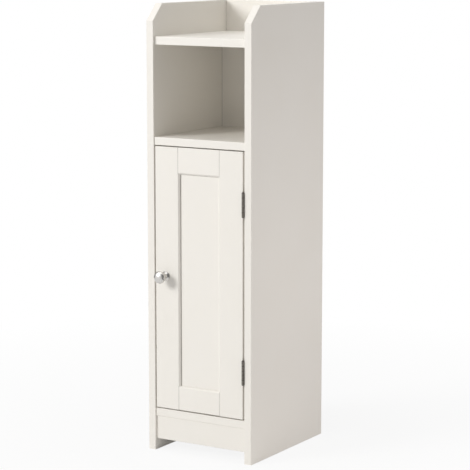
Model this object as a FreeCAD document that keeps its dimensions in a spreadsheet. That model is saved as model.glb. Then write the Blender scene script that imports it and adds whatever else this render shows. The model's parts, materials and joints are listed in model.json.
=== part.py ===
# Narrow bathroom cabinet in painted board: a tray on top, an open niche under it
# and a cupboard with a framed door on two butt hinges. All lengths are millimetres.
# Bodies share one carcass frame: x across from the middle, y back from the front edges
# of the side panels, z up from the floor. Their Placement moves that frame back or forth
# so that the origin lies under the middle of the whole object, knob included.
import FreeCAD
import Part
import Sketcher
import math
import os
import re

SIZES = {
    # Carcass boards
    "cabinet_height": 900.0,
    "cabinet_width": 242.0,
    "cabinet_depth": 286.0,
    "board": 16.0,
    "corner_cut": 33.0,
    "edge_round": 1.0,
    "tray_depth": 64.0,
    "niche_height": 182.0,
    "plinth_height": 48.0,
    "toe_gap": 23.0,
    "top_setback": 5.5,
    "shelf_setback": 2.5,
    "plinth_setback": 4.5,
    # Back panel in its grooves, and the gallery board behind the tray
    "back_thickness": 3.0,
    "back_recess": 30.0,
    "back_groove_depth": 6.0,
    "groove_play": 0.15,
    "groove_end_play": 0.5,
    "gallery_thickness": 12.0,
    "gallery_inset": 1.5,
    # Adjustable shelf on four pins
    "loose_shelf_play": 1.0,
    "loose_shelf_setback": 34.0,
    "shelf_pin_diameter": 5.0,
    "shelf_pin_depth": 8.0,
    "shelf_pin_reach": 7.0,
    "shelf_pin_flat": 1.5,
    "shelf_pin_margin": 30.0,
    "shelf_pin_drop": 5.5,
    "shelf_pin_pitch": 32.0,
    # Cams, bolts, dowels and nails that hold the boards together
    "fixing_margin": 45.0,
    "cam_distance": 24.0,
    "cam_diameter": 15.0,
    "cam_skin": 4.0,
    "cam_slot_length": 9.0,
    "cam_slot_width": 2.0,
    "cam_slot_depth": 3.0,
    "bolt_thread_diameter": 5.0,
    "bolt_thread_length": 10.0,
    "bolt_diameter": 6.0,
    "bolt_neck_diameter": 4.0,
    "bolt_neck_length": 4.0,
    "bolt_head_length": 3.0,
    "dowel_diameter": 8.0,
    "dowel_length": 30.0,
    "dowel_in_side": 10.0,
    "dowel_bevel": 1.0,
    "gallery_dowel_diameter": 6.0,
    "gallery_dowel_length": 24.0,
    "nail_diameter": 1.6,
    "nail_length": 18.0,
    "nail_head_diameter": 3.6,
    "nail_head_height": 0.8,
    "nail_inset": 35.0,
    "fit_play": 0.1,
    "end_play": 0.5,
    "plinth_bolt_share": 0.34,
    "plinth_dowel_share": 0.74,
    # Door frame and panel
    "door_setback": 1.0,
    "latch_gap": 2.5,
    "door_top_gap": 2.0,
    "door_floor_gap": 2.8,
    "stile_width": 56.5,
    "top_rail_height": 53.0,
    "bottom_rail_height": 49.0,
    "sticking": 3.0,
    "panel_recess": 5.5,
    "panel_slack": 0.6,
    "panel_thickness": 6.0,
    "panel_rear_lip": 6.5,
    "panel_groove_depth": 9.0,
    "panel_edge_play": 1.0,
    "tongue_play": 0.3,
    "joint_vee": 0.6,
    # Butt hinges and wood screws
    "hinge_length": 48.0,
    "hinge_from_top": 103.0,
    "hinge_from_bottom": 94.7,
    "knuckle_diameter": 5.0,
    "knuckle_clearance": 0.3,
    "leaf_thickness": 1.6,
    "leaf_clearance": 0.8,
    "leaf_width": 15.0,
    "leaf_screw_inset": 8.5,
    "leaf_screw_end": 9.0,
    "hinge_pin_diameter": 2.5,
    "hinge_pin_forward": 1.8,
    "hinge_pin_play": 0.05,
    "hinge_pin_head_overhang": 0.4,
    "hinge_pin_head_lip": 0.9,
    "hinge_pin_crown": 1.5,
    "hinge_pin_tail": 0.8,
    "screw_diameter": 2.8,
    "screw_length": 12.0,
    "screw_head_height": 1.2,
    "screw_tip_length": 3.0,
    "screw_slot_length": 2.6,
    "screw_slot_width": 0.7,
    "screw_slot_depth": 0.9,
    # Knob
    "knob_inset": 24.0,
    "knob_above_middle": 6.1,
    "knob_head_diameter": 25.0,
    "knob_rim_radius": 5.5,
    "knob_crown": 2.0,
    "knob_throat": 7.5,
    "knob_base_diameter": 18.5,
    "knob_base_lip": 1.6,
    "knob_neck_diameter": 10.0,
    "knob_neck_height": 9.5,
    "knob_foot_radius": 9.0,
    "knob_bore_depth": 12.0,
    "knob_screw_diameter": 4.0,
    "knob_screw_grip": 10.0,
    "knob_screw_head_diameter": 8.0,
    "knob_screw_head_height": 2.6,
    "knob_screw_dome_share": 0.66,
    # Magnetic catch under the middle shelf, and its strike on the door
    "catch_side_gap": 6.0,
    "catch_wall": 3.0,
    "catch_ear_width": 9.0,
    "catch_ear_depth": 10.0,
    "catch_ear_thickness": 3.5,
    "pole_width": 24.0,
    "pole_thickness": 1.5,
    "pole_depth": 11.0,
    "pole_proud": 0.6,
    "pole_gap": 0.4,
    "magnet_height": 5.0,
    "magnet_inset": 1.2,
    "strike_width": 38.0,
    "strike_height": 9.0,
    "strike_thickness": 1.2,
    "strike_screw_inset": 6.0,
    # Length by which every cut runs past the face that it leaves
    "overrun": 5.0,
}

SIDES = (-1, 1)
PANEL_LEVELS = ("floor_level", "shelf_level", "top_level")
FIXING_ROWS = ("fixing_margin", "rear_row")
HINGES = {"upper": "upper_hinge_level", "lower": "lower_hinge_level"}
NAIL_COLUMNS = (-1, 0, 1)
SHELF_PIN_ROWS = 3
KNUCKLES = 5
FRAME_KNUCKLES = (0, 2, 4)
DOOR_KNUCKLES = (1, 3)
GALLERY_DOWEL_SHARES = (0.3, 0.7)
SINK_ANGLE = 90
QUARTER_TURN_ANGLE, HALF_TURN_ANGLE = 90, 180

DERIVED = {
    "front_plane": "(knob_projection - door_setback - cabinet_depth) / 2",
    "inner_half": "cabinet_width / 2 - board",
    "floor_level": "toe_gap + plinth_height",
    "top_level": "cabinet_height - tray_depth - board",
    "shelf_level": "top_level - niche_height - board",
    "cupboard_floor": "floor_level + board",
    "back_face": "cabinet_depth - back_recess",
    "back_rear": "back_face + back_thickness",
    "gallery_front": "cabinet_depth - gallery_inset - gallery_thickness",
    "gallery_middle": "gallery_front + gallery_thickness / 2",
    "plinth_middle": "plinth_setback + board / 2",
    "plinth_bolt_level": "toe_gap + plinth_height * plinth_bolt_share",
    "plinth_dowel_level": "toe_gap + plinth_height * plinth_dowel_share",
    "cam_height": "board - cam_skin",
    "rear_row": "back_face - fixing_margin",
    "dowel_row": "back_face / 2",
    "dowel_in_panel": "dowel_length - dowel_in_side",
    "loose_shelf_rear": "back_face - loose_shelf_play",
    "pin_front_row": "loose_shelf_setback + shelf_pin_margin",
    "pin_rear_row": "loose_shelf_rear - shelf_pin_margin",
    "pin_level": "(cupboard_floor + shelf_level) / 2 - shelf_pin_drop",
    "loose_shelf_level": "pin_level + shelf_pin_flat",
    "door_thickness": "panel_recess + panel_thickness + panel_rear_lip",
    "door_rear": "door_setback + door_thickness",
    "hinge_gap": "2 * leaf_thickness + leaf_clearance",
    "door_left": "latch_gap - inner_half",
    "door_right": "inner_half - hinge_gap",
    "door_bottom": "cupboard_floor + door_floor_gap",
    "door_top": "shelf_level - door_top_gap",
    "panel_front": "door_setback + panel_recess",
    "panel_rear": "panel_front + panel_thickness",
    "panel_groove_front": "panel_front - panel_slack",
    "opening_left": "door_left + stile_width",
    "opening_right": "door_right - stile_width",
    "tongue": "panel_groove_depth - tongue_play",
    "hinge_x": "inner_half - hinge_gap / 2",
    "knuckle_relief": "knuckle_diameter / 2 + knuckle_clearance",
    "upper_hinge_level": "door_top - hinge_from_top",
    "lower_hinge_level": "door_bottom + hinge_from_bottom",
    "knuckle_pitch": f"hinge_length / {KNUCKLES}",
    "leaf_screw_spread": "hinge_length - 2 * leaf_screw_end",
    "screw_head_diameter": "screw_diameter + 2 * screw_head_height",
    "screw_bore": "screw_diameter + 2 * fit_play",
    "screw_sink": "screw_head_diameter + 2 * fit_play",
    "knob_x": "door_left + knob_inset",
    "knob_level": "(door_bottom + door_top) / 2 + knob_above_middle",
    "knob_head_centre": "knob_neck_height + knob_throat + knob_rim_radius",
    "knob_projection": "knob_head_centre + knob_rim_radius + knob_crown",
    "catch_width": "pole_width + 2 * fit_play + 2 * catch_wall",
    "catch_depth": "pole_depth - pole_proud + fit_play + catch_wall",
    "catch_height": "magnet_height + 2 * pole_thickness + 4 * fit_play + 2 * catch_wall",
    "catch_offset": "inner_half - catch_side_gap - catch_ear_width - catch_width / 2",
    "catch_level": "shelf_level - catch_height / 2",
    "catch_front": "door_rear + strike_thickness + pole_gap + pole_proud",
    "catch_ear_middle": "catch_front + catch_depth / 2",
    "catch_screw_reach": "catch_width / 2 + catch_ear_width / 2",
    "strike_screw_reach": "strike_width / 2 - strike_screw_inset",
}

ORIGIN, AXIS_V = range(-1, -3, -1)
START, END, CENTRE = range(1, 4)
SAME_PLACE = 1e-6

doc = FreeCAD.newDocument("bathroom_cabinet")
sheet = doc.addObject("Spreadsheet::Sheet", "Sizes")
for row, (alias, value) in enumerate(SIZES.items(), start=1):
    sheet.set(f"A{row}", alias)
    sheet.set(f"B{row}", str(value))
    sheet.setAlias(f"B{row}", alias)
doc.recompute()
parts = []


# Expressions: names of sizes and derived values are written out as cells of the sheet

def formula(text):
    def written_out(match):
        word = match.group(0)
        if word in DERIVED:
            return f"({formula(DERIVED[word])})"
        return f"Sizes.{word}" if word in SIZES else word
    return re.sub(r"[a-z]\w*", written_out, text)


def number(text):
    return float(sheet.evalExpression(formula(text)))


def bind(thing, prop, text):
    thing.setExpression(prop, formula(text))


def place(thing, x="0", y="0", z="0", rotation=None):
    if rotation:
        thing.Placement = FreeCAD.Placement(FreeCAD.Vector(), rotation)
    for axis, text in zip("xyz", (x, y, z)):
        bind(thing, f"Placement.Base.{axis}", text)


# Bodies, sketches and features

def new_body(label):
    return doc.addObject("PartDesign::Body", label)


def finish(thing, x="0", y="front_plane", z="0", rotation=None):
    place(thing, x, y, z, rotation)
    parts.append(thing)
    return thing


def sketch_on(body, role, offset="0"):
    plane = next(feature for feature in body.Origin.OriginFeatures if feature.Role == role)
    sketch = body.newObject("Sketcher::SketchObject", f"{body.Name}_sketch")
    sketch.AttachmentSupport = [(plane, "")]
    sketch.MapMode = "FlatFace"
    bind(sketch, "AttachmentOffset.Base.z", offset)
    return sketch


def constrain(sketch, text, kind, *refs):
    index = sketch.addConstraint(Sketcher.Constraint(kind, *refs, number(text)))
    bind(sketch, f"Constraints[{index}]", text)


def pin(sketch, geometry, point, x, y):
    constrain(sketch, x, "DistanceX", ORIGIN, START, geometry, point)
    constrain(sketch, y, "DistanceY", ORIGIN, START, geometry, point)


def spot(x, y):
    return FreeCAD.Vector(number(x), number(y), 0)


def add_polygon(sketch, points):
    first = sketch.GeometryCount
    corners = [spot(x, y) for x, y in points]
    for start, end in zip(corners, corners[1:] + corners[:1]):
        sketch.addGeometry(Part.LineSegment(start, end), False)
    for i, (x, y) in enumerate(points):
        following = first + (i + 1) % len(points)
        sketch.addConstraint(Sketcher.Constraint("Coincident", first + i, END, following, START))
        pin(sketch, first + i, START, x, y)


def add_rectangle(sketch, x_low, y_low, x_high, y_high):
    add_polygon(sketch, [(x_low, y_low), (x_high, y_low), (x_high, y_high), (x_low, y_high)])


def add_circles(sketch, places, diameter):
    for x, y in places:
        radius = number(diameter) / 2
        circle = sketch.addGeometry(Part.Circle(spot(x, y), FreeCAD.Vector(0, 0, 1), radius), False)
        pin(sketch, circle, CENTRE, x, y)
        constrain(sketch, diameter, "Diameter", circle)


def add_feature(body, kind, sketch, length=None, flip=False):
    feature = body.newObject(f"PartDesign::{kind}", f"{body.Name}_{kind.lower()}")
    feature.Profile = sketch
    feature.Reversed = flip
    if length:
        bind(feature, "Length", length)
    return feature


def pad(body, sketch, length, flip=False):
    return add_feature(body, "Pad", sketch, length, flip)


def pocket(body, sketch, depth, flip=False):
    return add_feature(body, "Pocket", sketch, depth, flip)


def pocket_through(body, sketch, both_ways=False, flip=False):
    cut = add_feature(body, "Pocket", sketch, flip=flip)
    cut.Type = "ThroughAll"
    cut.Midplane = both_ways
    return cut


def drill(body, role, offset, places, diameter, depth, flip=False):
    sketch = sketch_on(body, role, offset)
    add_circles(sketch, places, diameter)
    return pocket(body, sketch, depth, flip)


def countersink(body, role, offset, places, flip=False):
    sketch = sketch_on(body, role, offset)
    add_circles(sketch, places, "screw_bore")
    doc.recompute()
    hole = add_feature(body, "Hole", sketch, flip=flip)
    hole.DepthType = "ThroughAll"
    hole.HoleCutType = "Countersink"
    hole.HoleCutCustomValues = True
    hole.HoleCutCountersinkAngle = SINK_ANGLE
    bind(hole, "Diameter", "screw_bore")
    bind(hole, "HoleCutDiameter", "screw_sink")


def turn(body, sketch):
    revolution = add_feature(body, "Revolution", sketch)
    revolution.ReferenceAxis = (sketch, ["V_Axis"])
    return revolution


def repeat_along_v(body, feature, spacing, copies):
    pattern = body.newObject("PartDesign::LinearPattern", f"{body.Name}_pattern")
    pattern.Originals = [feature]
    pattern.Direction = (feature.Profile[0], ["V_Axis"])
    pattern.Occurrences = copies
    bind(pattern, "Length", f"({spacing}) * {copies - 1}")
    body.Tip = pattern


def lies_at(edge, axis, text):
    return all(abs(getattr(end.Point, axis) - number(text)) < SAME_PLACE for end in edge.Vertexes)


def runs_across(edge):
    return abs(edge.Vertexes[0].Point.x - edge.Vertexes[-1].Point.x) > SAME_PLACE


def ease(body, kind, prop, text, chosen):
    doc.recompute()
    base = body.Tip
    names = [f"Edge{i}" for i, edge in enumerate(base.Shape.Edges, start=1) if chosen(edge)]
    feature = body.newObject(f"PartDesign::{kind}", f"{body.Name}_{kind.lower()}")
    feature.Base = (base, names)
    bind(feature, prop, text)


def round_edges(body, chosen):
    ease(body, "Fillet", "Radius", "edge_round", chosen)


def cross_recess(body, length, width, depth):
    arm, half = f"{length} / 2", f"{width} / 2"
    sketch = sketch_on(body, "XY_Plane")
    quarter = [(arm, half), (half, half), (half, arm)]
    left = [(f"-{x}", y) for x, y in reversed(quarter)]
    lower = [(x, f"-{y}") for x, y in reversed(quarter + left)]
    add_polygon(sketch, quarter + left + lower)
    pocket(body, sketch, depth, flip=True)


# Turned fasteners: one master each, copied to its places as one group

def turned(label, outline):
    body = new_body(label)
    sketch = sketch_on(body, "XZ_Plane")
    add_polygon(sketch, outline)
    turn(body, sketch)
    return body


def copy_of(master, x, y, z, rotation=FreeCAD.Rotation()):
    link = doc.addObject("App::Link", f"{master.Name}_copy")
    link.LinkedObject = master
    place(link, x, y, z, rotation)
    return link


def group(label, copies):
    compound = doc.addObject("Part::Compound", label)
    compound.Links = copies
    return finish(compound)


def aim(x, y, z):
    return FreeCAD.Rotation(FreeCAD.Vector(0, 0, 1), FreeCAD.Vector(x, y, z))


def facing(side):
    return FreeCAD.Rotation(FreeCAD.Vector(0, 0, 1), 0 if side > 0 else HALF_TURN_ANGLE)


def dowel_outline(diameter, length):
    radius, tip = f"{diameter} / 2", f"{diameter} / 2 - dowel_bevel"
    low, high = f"-{length} / 2", f"{length} / 2"
    return [("0", low), (tip, low), (radius, f"{low} + dowel_bevel"),
            (radius, f"{high} - dowel_bevel"), (tip, high), ("0", high)]


def screw_master():
    shank = "screw_diameter / 2"
    screw = turned("wood_screw", [
        ("0", "0"), ("screw_head_diameter / 2", "0"), (shank, "screw_head_height"),
        (shank, "screw_length - screw_tip_length"), ("0", "screw_length")])
    cross_recess(screw, "screw_slot_length", "screw_slot_width", "screw_slot_depth")
    return screw


# Places of the fixings, as pairs of expressions in the carcass frame

def bolt_places():
    places = [(row, f"{level} + board / 2") for level in PANEL_LEVELS for row in FIXING_ROWS]
    return places + [("plinth_middle", "plinth_bolt_level")]


def dowel_places():
    places = [("dowel_row", f"{level} + board / 2") for level in PANEL_LEVELS]
    return places + [("plinth_middle", "plinth_dowel_level")]


def gallery_dowel_places():
    floor = "cabinet_height - tray_depth"
    return [("gallery_middle", f"{floor} + tray_depth * {share}") for share in GALLERY_DOWEL_SHARES]


def hinge_screw_places():
    return [("leaf_screw_inset", f"{level} + {side} * leaf_screw_spread / 2")
            for level in HINGES.values() for side in SIDES]


def nail_places(levels=("floor_level", "shelf_level")):
    return [(f"{column} * (inner_half - nail_inset)", f"{level} + board / 2")
            for level in levels for column in NAIL_COLUMNS]


def catch_screw_places():
    return [(f"-catch_offset + {side} * catch_screw_reach", "catch_ear_middle") for side in SIDES]


def strike_screw_places():
    return [(f"-catch_offset + {side} * strike_screw_reach", "catch_level") for side in SIDES]


# Carcass boards

def side_panel(label, side):
    body = new_body(label)
    inner = f"{side} * inner_half"
    outline = sketch_on(body, "YZ_Plane", inner)
    add_polygon(outline, [
        ("0", "0"), ("cabinet_depth", "0"), ("cabinet_depth", "cabinet_height"),
        ("corner_cut", "cabinet_height"), ("0", "cabinet_height - corner_cut")])
    pad(body, outline, "board", flip=side < 0)
    faces = (inner, f"{side} * (inner_half + board)")
    round_edges(body, lambda edge: not lies_at(edge, "z", "0")
                and any(lies_at(edge, "x", face) for face in faces))
    groove = sketch_on(body, "YZ_Plane", inner)
    add_rectangle(groove, "back_face - groove_play", "-overrun",
                  "back_rear + groove_play", "top_level + back_groove_depth")
    outward = side > 0
    pocket(body, groove, "back_groove_depth", flip=outward)
    drill(body, "YZ_Plane", inner, bolt_places(), "bolt_thread_diameter + 2 * fit_play",
          "bolt_thread_length + end_play", flip=outward)
    drill(body, "YZ_Plane", inner, dowel_places(), "dowel_diameter + 2 * fit_play",
          "dowel_in_side + end_play", flip=outward)
    drill(body, "YZ_Plane", inner, gallery_dowel_places(), "gallery_dowel_diameter + 2 * fit_play",
          "dowel_in_side + end_play", flip=outward)
    lowest = f"pin_level - shelf_pin_pitch * {(SHELF_PIN_ROWS - 1) // 2}"
    pins = drill(body, "YZ_Plane", inner, [("pin_front_row", lowest), ("pin_rear_row", lowest)],
                 "shelf_pin_diameter + 2 * fit_play", "shelf_pin_depth + end_play", flip=outward)
    repeat_along_v(body, pins, "shelf_pin_pitch", SHELF_PIN_ROWS)
    if side > 0:
        drill(body, "YZ_Plane", inner, hinge_screw_places(), "screw_bore",
              "screw_length - leaf_thickness + end_play", flip=outward)
    finish(body)


def cross_panel(label, level, front, rear):
    body = new_body(label)
    outline = sketch_on(body, "XY_Plane", level)
    add_rectangle(outline, "-inner_half", front, "inner_half", rear)
    pad(body, outline, "board")
    round_edges(body, lambda edge: runs_across(edge) and lies_at(edge, "y", front))
    middle = f"{level} + board / 2"
    for side in SIDES:
        end = f"{side} * inner_half"
        drill(body, "YZ_Plane", end, [(row, middle) for row in FIXING_ROWS],
              "bolt_diameter + 2 * fit_play", "cam_distance", flip=side < 0)
        drill(body, "YZ_Plane", end, [("dowel_row", middle)],
              "dowel_diameter + 2 * fit_play", "dowel_in_panel + end_play", flip=side < 0)
    cams = [(f"{side} * (inner_half - cam_distance)", row) for side in SIDES for row in FIXING_ROWS]
    drill(body, "XY_Plane", level, cams, "cam_diameter + 2 * fit_play",
          "cam_height + end_play", flip=True)
    return finish(body)


def top_panel():
    body = cross_panel("top_panel", "top_level", "top_setback", "cabinet_depth")
    groove = sketch_on(body, "XY_Plane", "top_level")
    add_rectangle(groove, "-inner_half - overrun", "back_face - groove_play",
                  "inner_half + overrun", "back_rear + groove_play")
    pocket(body, groove, "back_groove_depth", flip=True)


def shelf_with_nails(label, level):
    body = cross_panel(label, level, "shelf_setback", "back_face")
    drill(body, "XZ_Plane", "-back_face", nail_places([level]), "nail_diameter + 2 * fit_play",
          "nail_length - back_thickness + end_play", flip=True)
    return body


def middle_shelf():
    body = shelf_with_nails("middle_shelf", "shelf_level")
    drill(body, "XY_Plane", "shelf_level", catch_screw_places(), "screw_bore",
          "screw_length - catch_ear_thickness + end_play", flip=True)


def plinth_rail():
    body = new_body("plinth_rail")
    outline = sketch_on(body, "XZ_Plane", "-plinth_setback")
    add_rectangle(outline, "-inner_half", "toe_gap", "inner_half", "floor_level")
    pad(body, outline, "board", flip=True)
    round_edges(body, lambda edge: runs_across(edge) and lies_at(edge, "z", "toe_gap"))
    for side in SIDES:
        end = f"{side} * inner_half"
        drill(body, "YZ_Plane", end, [("plinth_middle", "plinth_bolt_level")],
              "bolt_diameter + 2 * fit_play", "cam_distance", flip=side < 0)
        drill(body, "YZ_Plane", end, [("plinth_middle", "plinth_dowel_level")],
              "dowel_diameter + 2 * fit_play", "dowel_in_panel + end_play", flip=side < 0)
    cams = [(f"{side} * (inner_half - cam_distance)", "plinth_bolt_level") for side in SIDES]
    drill(body, "XZ_Plane", "-(plinth_setback + board)", cams, "cam_diameter + 2 * fit_play",
          "cam_height + end_play", flip=True)
    finish(body)


def gallery_back():
    body = new_body("gallery_back")
    outline = sketch_on(body, "XZ_Plane", "-gallery_front")
    add_rectangle(outline, "-inner_half", "cabinet_height - tray_depth", "inner_half", "cabinet_height")
    pad(body, outline, "gallery_thickness", flip=True)
    round_edges(body, lambda edge: runs_across(edge) and lies_at(edge, "z", "cabinet_height"))
    for side in SIDES:
        drill(body, "YZ_Plane", f"{side} * inner_half", gallery_dowel_places(),
              "gallery_dowel_diameter + 2 * fit_play",
              "gallery_dowel_length - dowel_in_side + end_play", flip=side < 0)
    finish(body)


def back_panel():
    body = new_body("back_panel")
    outline = sketch_on(body, "XZ_Plane", "-back_face")
    reach = "inner_half + back_groove_depth - groove_end_play"
    add_rectangle(outline, f"-({reach})", "floor_level", reach,
                  "top_level + back_groove_depth - groove_end_play")
    pad(body, outline, "back_thickness", flip=True)
    drill(body, "XZ_Plane", "-back_face", nail_places(), "nail_diameter + 2 * fit_play",
          "back_thickness")
    finish(body)


def adjustable_shelf():
    body = new_body("adjustable_shelf")
    outline = sketch_on(body, "XY_Plane", "loose_shelf_level")
    reach = "inner_half - loose_shelf_play"
    add_rectangle(outline, f"-({reach})", "loose_shelf_setback", reach, "loose_shelf_rear")
    pad(body, outline, "board")
    round_edges(body, lambda edge: runs_across(edge) and lies_at(edge, "y", "loose_shelf_setback"))
    finish(body)


# Fasteners of the carcass

def shelf_pins():
    body = new_body("shelf_pin")
    stub = sketch_on(body, "YZ_Plane", "-shelf_pin_reach")
    add_circles(stub, [("0", "0")], "shelf_pin_diameter")
    pad(body, stub, "shelf_pin_reach + shelf_pin_depth")
    flat = sketch_on(body, "XY_Plane", "shelf_pin_flat")
    add_rectangle(flat, "-shelf_pin_reach - overrun", "-shelf_pin_diameter", "0", "shelf_pin_diameter")
    pocket_through(body, flat, flip=True)
    copies = [copy_of(body, f"{side} * inner_half", row, "pin_level", facing(side))
              for side in SIDES for row in ("pin_front_row", "pin_rear_row")]
    group("shelf_pins", copies)


def cam_bolts():
    thread, shank, neck = "bolt_thread_diameter / 2", "bolt_diameter / 2", "bolt_neck_diameter / 2"
    head_start = "-cam_distance + bolt_head_length / 2"
    head_end = "-cam_distance - bolt_head_length / 2"
    master = turned("cam_bolt", [
        ("0", head_end), (shank, head_end), (shank, head_start), (neck, head_start),
        (neck, f"{head_start} + bolt_neck_length"), (shank, f"{head_start} + bolt_neck_length"),
        (shank, "0"), (thread, "0"), (thread, "bolt_thread_length"), ("0", "bolt_thread_length")])
    group("cam_bolts", [copy_of(master, f"{side} * inner_half", y, z, aim(side, 0, 0))
                        for side in SIDES for y, z in bolt_places()])


def cam_nuts():
    body = new_body("cam_nut")
    disc = sketch_on(body, "XY_Plane")
    add_circles(disc, [("0", "0")], "cam_diameter")
    pad(body, disc, "cam_height")
    mouth = sketch_on(body, "YZ_Plane", "-bolt_head_length")
    add_circles(mouth, [("0", "board / 2")], "bolt_diameter + 2 * fit_play")
    pocket(body, mouth, "cam_diameter", flip=True)
    cross_recess(body, "cam_slot_length", "cam_slot_width", "cam_slot_depth")
    laid_back = FreeCAD.Rotation(FreeCAD.Vector(1, 0, 0), QUARTER_TURN_ANGLE)
    copies = []
    for side in SIDES:
        x = f"{side} * (inner_half - cam_distance)"
        copies += [copy_of(body, x, row, level, facing(side))
                   for level in PANEL_LEVELS for row in FIXING_ROWS]
        copies.append(copy_of(body, x, "plinth_setback + board", "plinth_bolt_level",
                              laid_back * facing(side)))
    group("cam_nuts", copies)


def wood_dowels():
    master = turned("wood_dowel", dowel_outline("dowel_diameter", "dowel_length"))
    middle = "inner_half + dowel_in_side - dowel_length / 2"
    group("wood_dowels", [copy_of(master, f"{side} * ({middle})", y, z, aim(side, 0, 0))
                          for side in SIDES for y, z in dowel_places()])


def gallery_dowels():
    master = turned("gallery_dowel", dowel_outline("gallery_dowel_diameter", "gallery_dowel_length"))
    middle = "inner_half + dowel_in_side - gallery_dowel_length / 2"
    group("gallery_dowels", [copy_of(master, f"{side} * ({middle})", y, z, aim(side, 0, 0))
                             for side in SIDES for y, z in gallery_dowel_places()])


def back_panel_nails():
    head, shank = "nail_head_diameter / 2", "nail_diameter / 2"
    master = turned("nail", [
        ("0", "-nail_head_height"), (head, "-nail_head_height"), (head, "0"), (shank, "0"),
        (shank, "nail_length - nail_diameter"), ("0", "nail_length")])
    group("back_panel_nails", [copy_of(master, x, "back_rear", z, aim(0, -1, 0))
                               for x, z in nail_places()])


# Door

def door_stile(label, outer, inward):
    def from_edge(offset):
        return f"{outer} + {inward} * ({offset})"
    body = new_body(label)
    section = sketch_on(body, "XY_Plane", "door_bottom")
    inner, groove = from_edge("stile_width"), from_edge("stile_width - panel_groove_depth")
    add_polygon(section, [
        (outer, "door_setback"), (from_edge("stile_width - sticking"), "door_setback"),
        (inner, "door_setback + sticking"), (inner, "panel_groove_front"),
        (groove, "panel_groove_front"), (groove, "panel_rear + groove_play"),
        (inner, "panel_rear + groove_play"), (inner, "door_rear"), (outer, "door_rear")])
    pad(body, section, "door_top - door_bottom")
    round_edges(body, lambda edge: lies_at(edge, "x", outer)
                and any(lies_at(edge, "y", face) for face in ("door_setback", "door_rear")))
    return body


def latch_stile():
    body = door_stile("door_stile_latch", "door_left", 1)
    bore = sketch_on(body, "XZ_Plane")
    add_circles(bore, [("knob_x", "knob_level")], "knob_screw_diameter + 2 * fit_play")
    pocket_through(body, bore)
    drill(body, "XZ_Plane", "-door_rear", strike_screw_places(), "screw_bore",
          "screw_length - strike_thickness + end_play", flip=True)
    finish(body)


def hinge_stile():
    body = door_stile("door_stile_hinge", "door_right", -1)
    drill(body, "YZ_Plane", "door_right", hinge_screw_places(), "screw_bore",
          "screw_length - leaf_thickness + end_play")
    finish(body)


def add_cope(sketch, inner, outward):
    def from_inner(offset):
        return f"{inner} + {outward} * ({offset})"
    beyond = from_inner("panel_groove_depth + overrun")
    shoulder = from_inner("sticking")
    tongue_front = "panel_groove_front + groove_play"
    add_polygon(sketch, [
        (beyond, "door_setback - overrun"), (shoulder, "door_setback - overrun"),
        (shoulder, "door_setback"), (inner, "door_setback + sticking"),
        (inner, tongue_front), (beyond, tongue_front)])
    add_rectangle(sketch, inner, "panel_rear", beyond, "door_rear + overrun")


def door_rail(label, outer, inward, height):
    def from_edge(offset):
        return f"{outer} + {inward} * ({offset})"
    body = new_body(label)
    section = sketch_on(body, "YZ_Plane", "opening_left - tongue")
    inner, groove = from_edge(height), from_edge(f"{height} - panel_groove_depth")
    add_polygon(section, [
        ("door_setback", outer), ("door_setback", from_edge(f"{height} - sticking")),
        ("door_setback + sticking", inner), ("panel_groove_front", inner),
        ("panel_groove_front", groove), ("panel_rear + groove_play", groove),
        ("panel_rear + groove_play", inner), ("door_rear", inner), ("door_rear", outer)])
    pad(body, section, "opening_right - opening_left + 2 * tongue")
    round_edges(body, lambda edge: lies_at(edge, "z", outer)
                and any(lies_at(edge, "y", face) for face in ("door_setback", "door_rear")))
    cope = sketch_on(body, "XY_Plane")
    add_cope(cope, "opening_left", -1)
    add_cope(cope, "opening_right", 1)
    pocket_through(body, cope, flip=True)
    shoulders = ("opening_left - sticking", "opening_right + sticking")
    ease(body, "Chamfer", "Size", "joint_vee", lambda edge: lies_at(edge, "y", "door_setback")
         and any(lies_at(edge, "x", shoulder) for shoulder in shoulders))
    finish(body)


def door_panel():
    body = new_body("door_panel")
    outline = sketch_on(body, "XZ_Plane", "-panel_front")
    reach = "panel_groove_depth - panel_edge_play"
    add_rectangle(outline, f"opening_left - ({reach})",
                  f"door_bottom + bottom_rail_height - ({reach})", f"opening_right + {reach}",
                  f"door_top - top_rail_height + {reach}")
    pad(body, outline, "panel_thickness", flip=True)
    finish(body)


def arc_about(centre, radius, low_degrees, high_degrees):
    circle = Part.Circle(spot(*centre), FreeCAD.Vector(0, 0, 1), number(radius))
    return Part.ArcOfCircle(circle, math.radians(low_degrees), math.radians(high_degrees))


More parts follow.
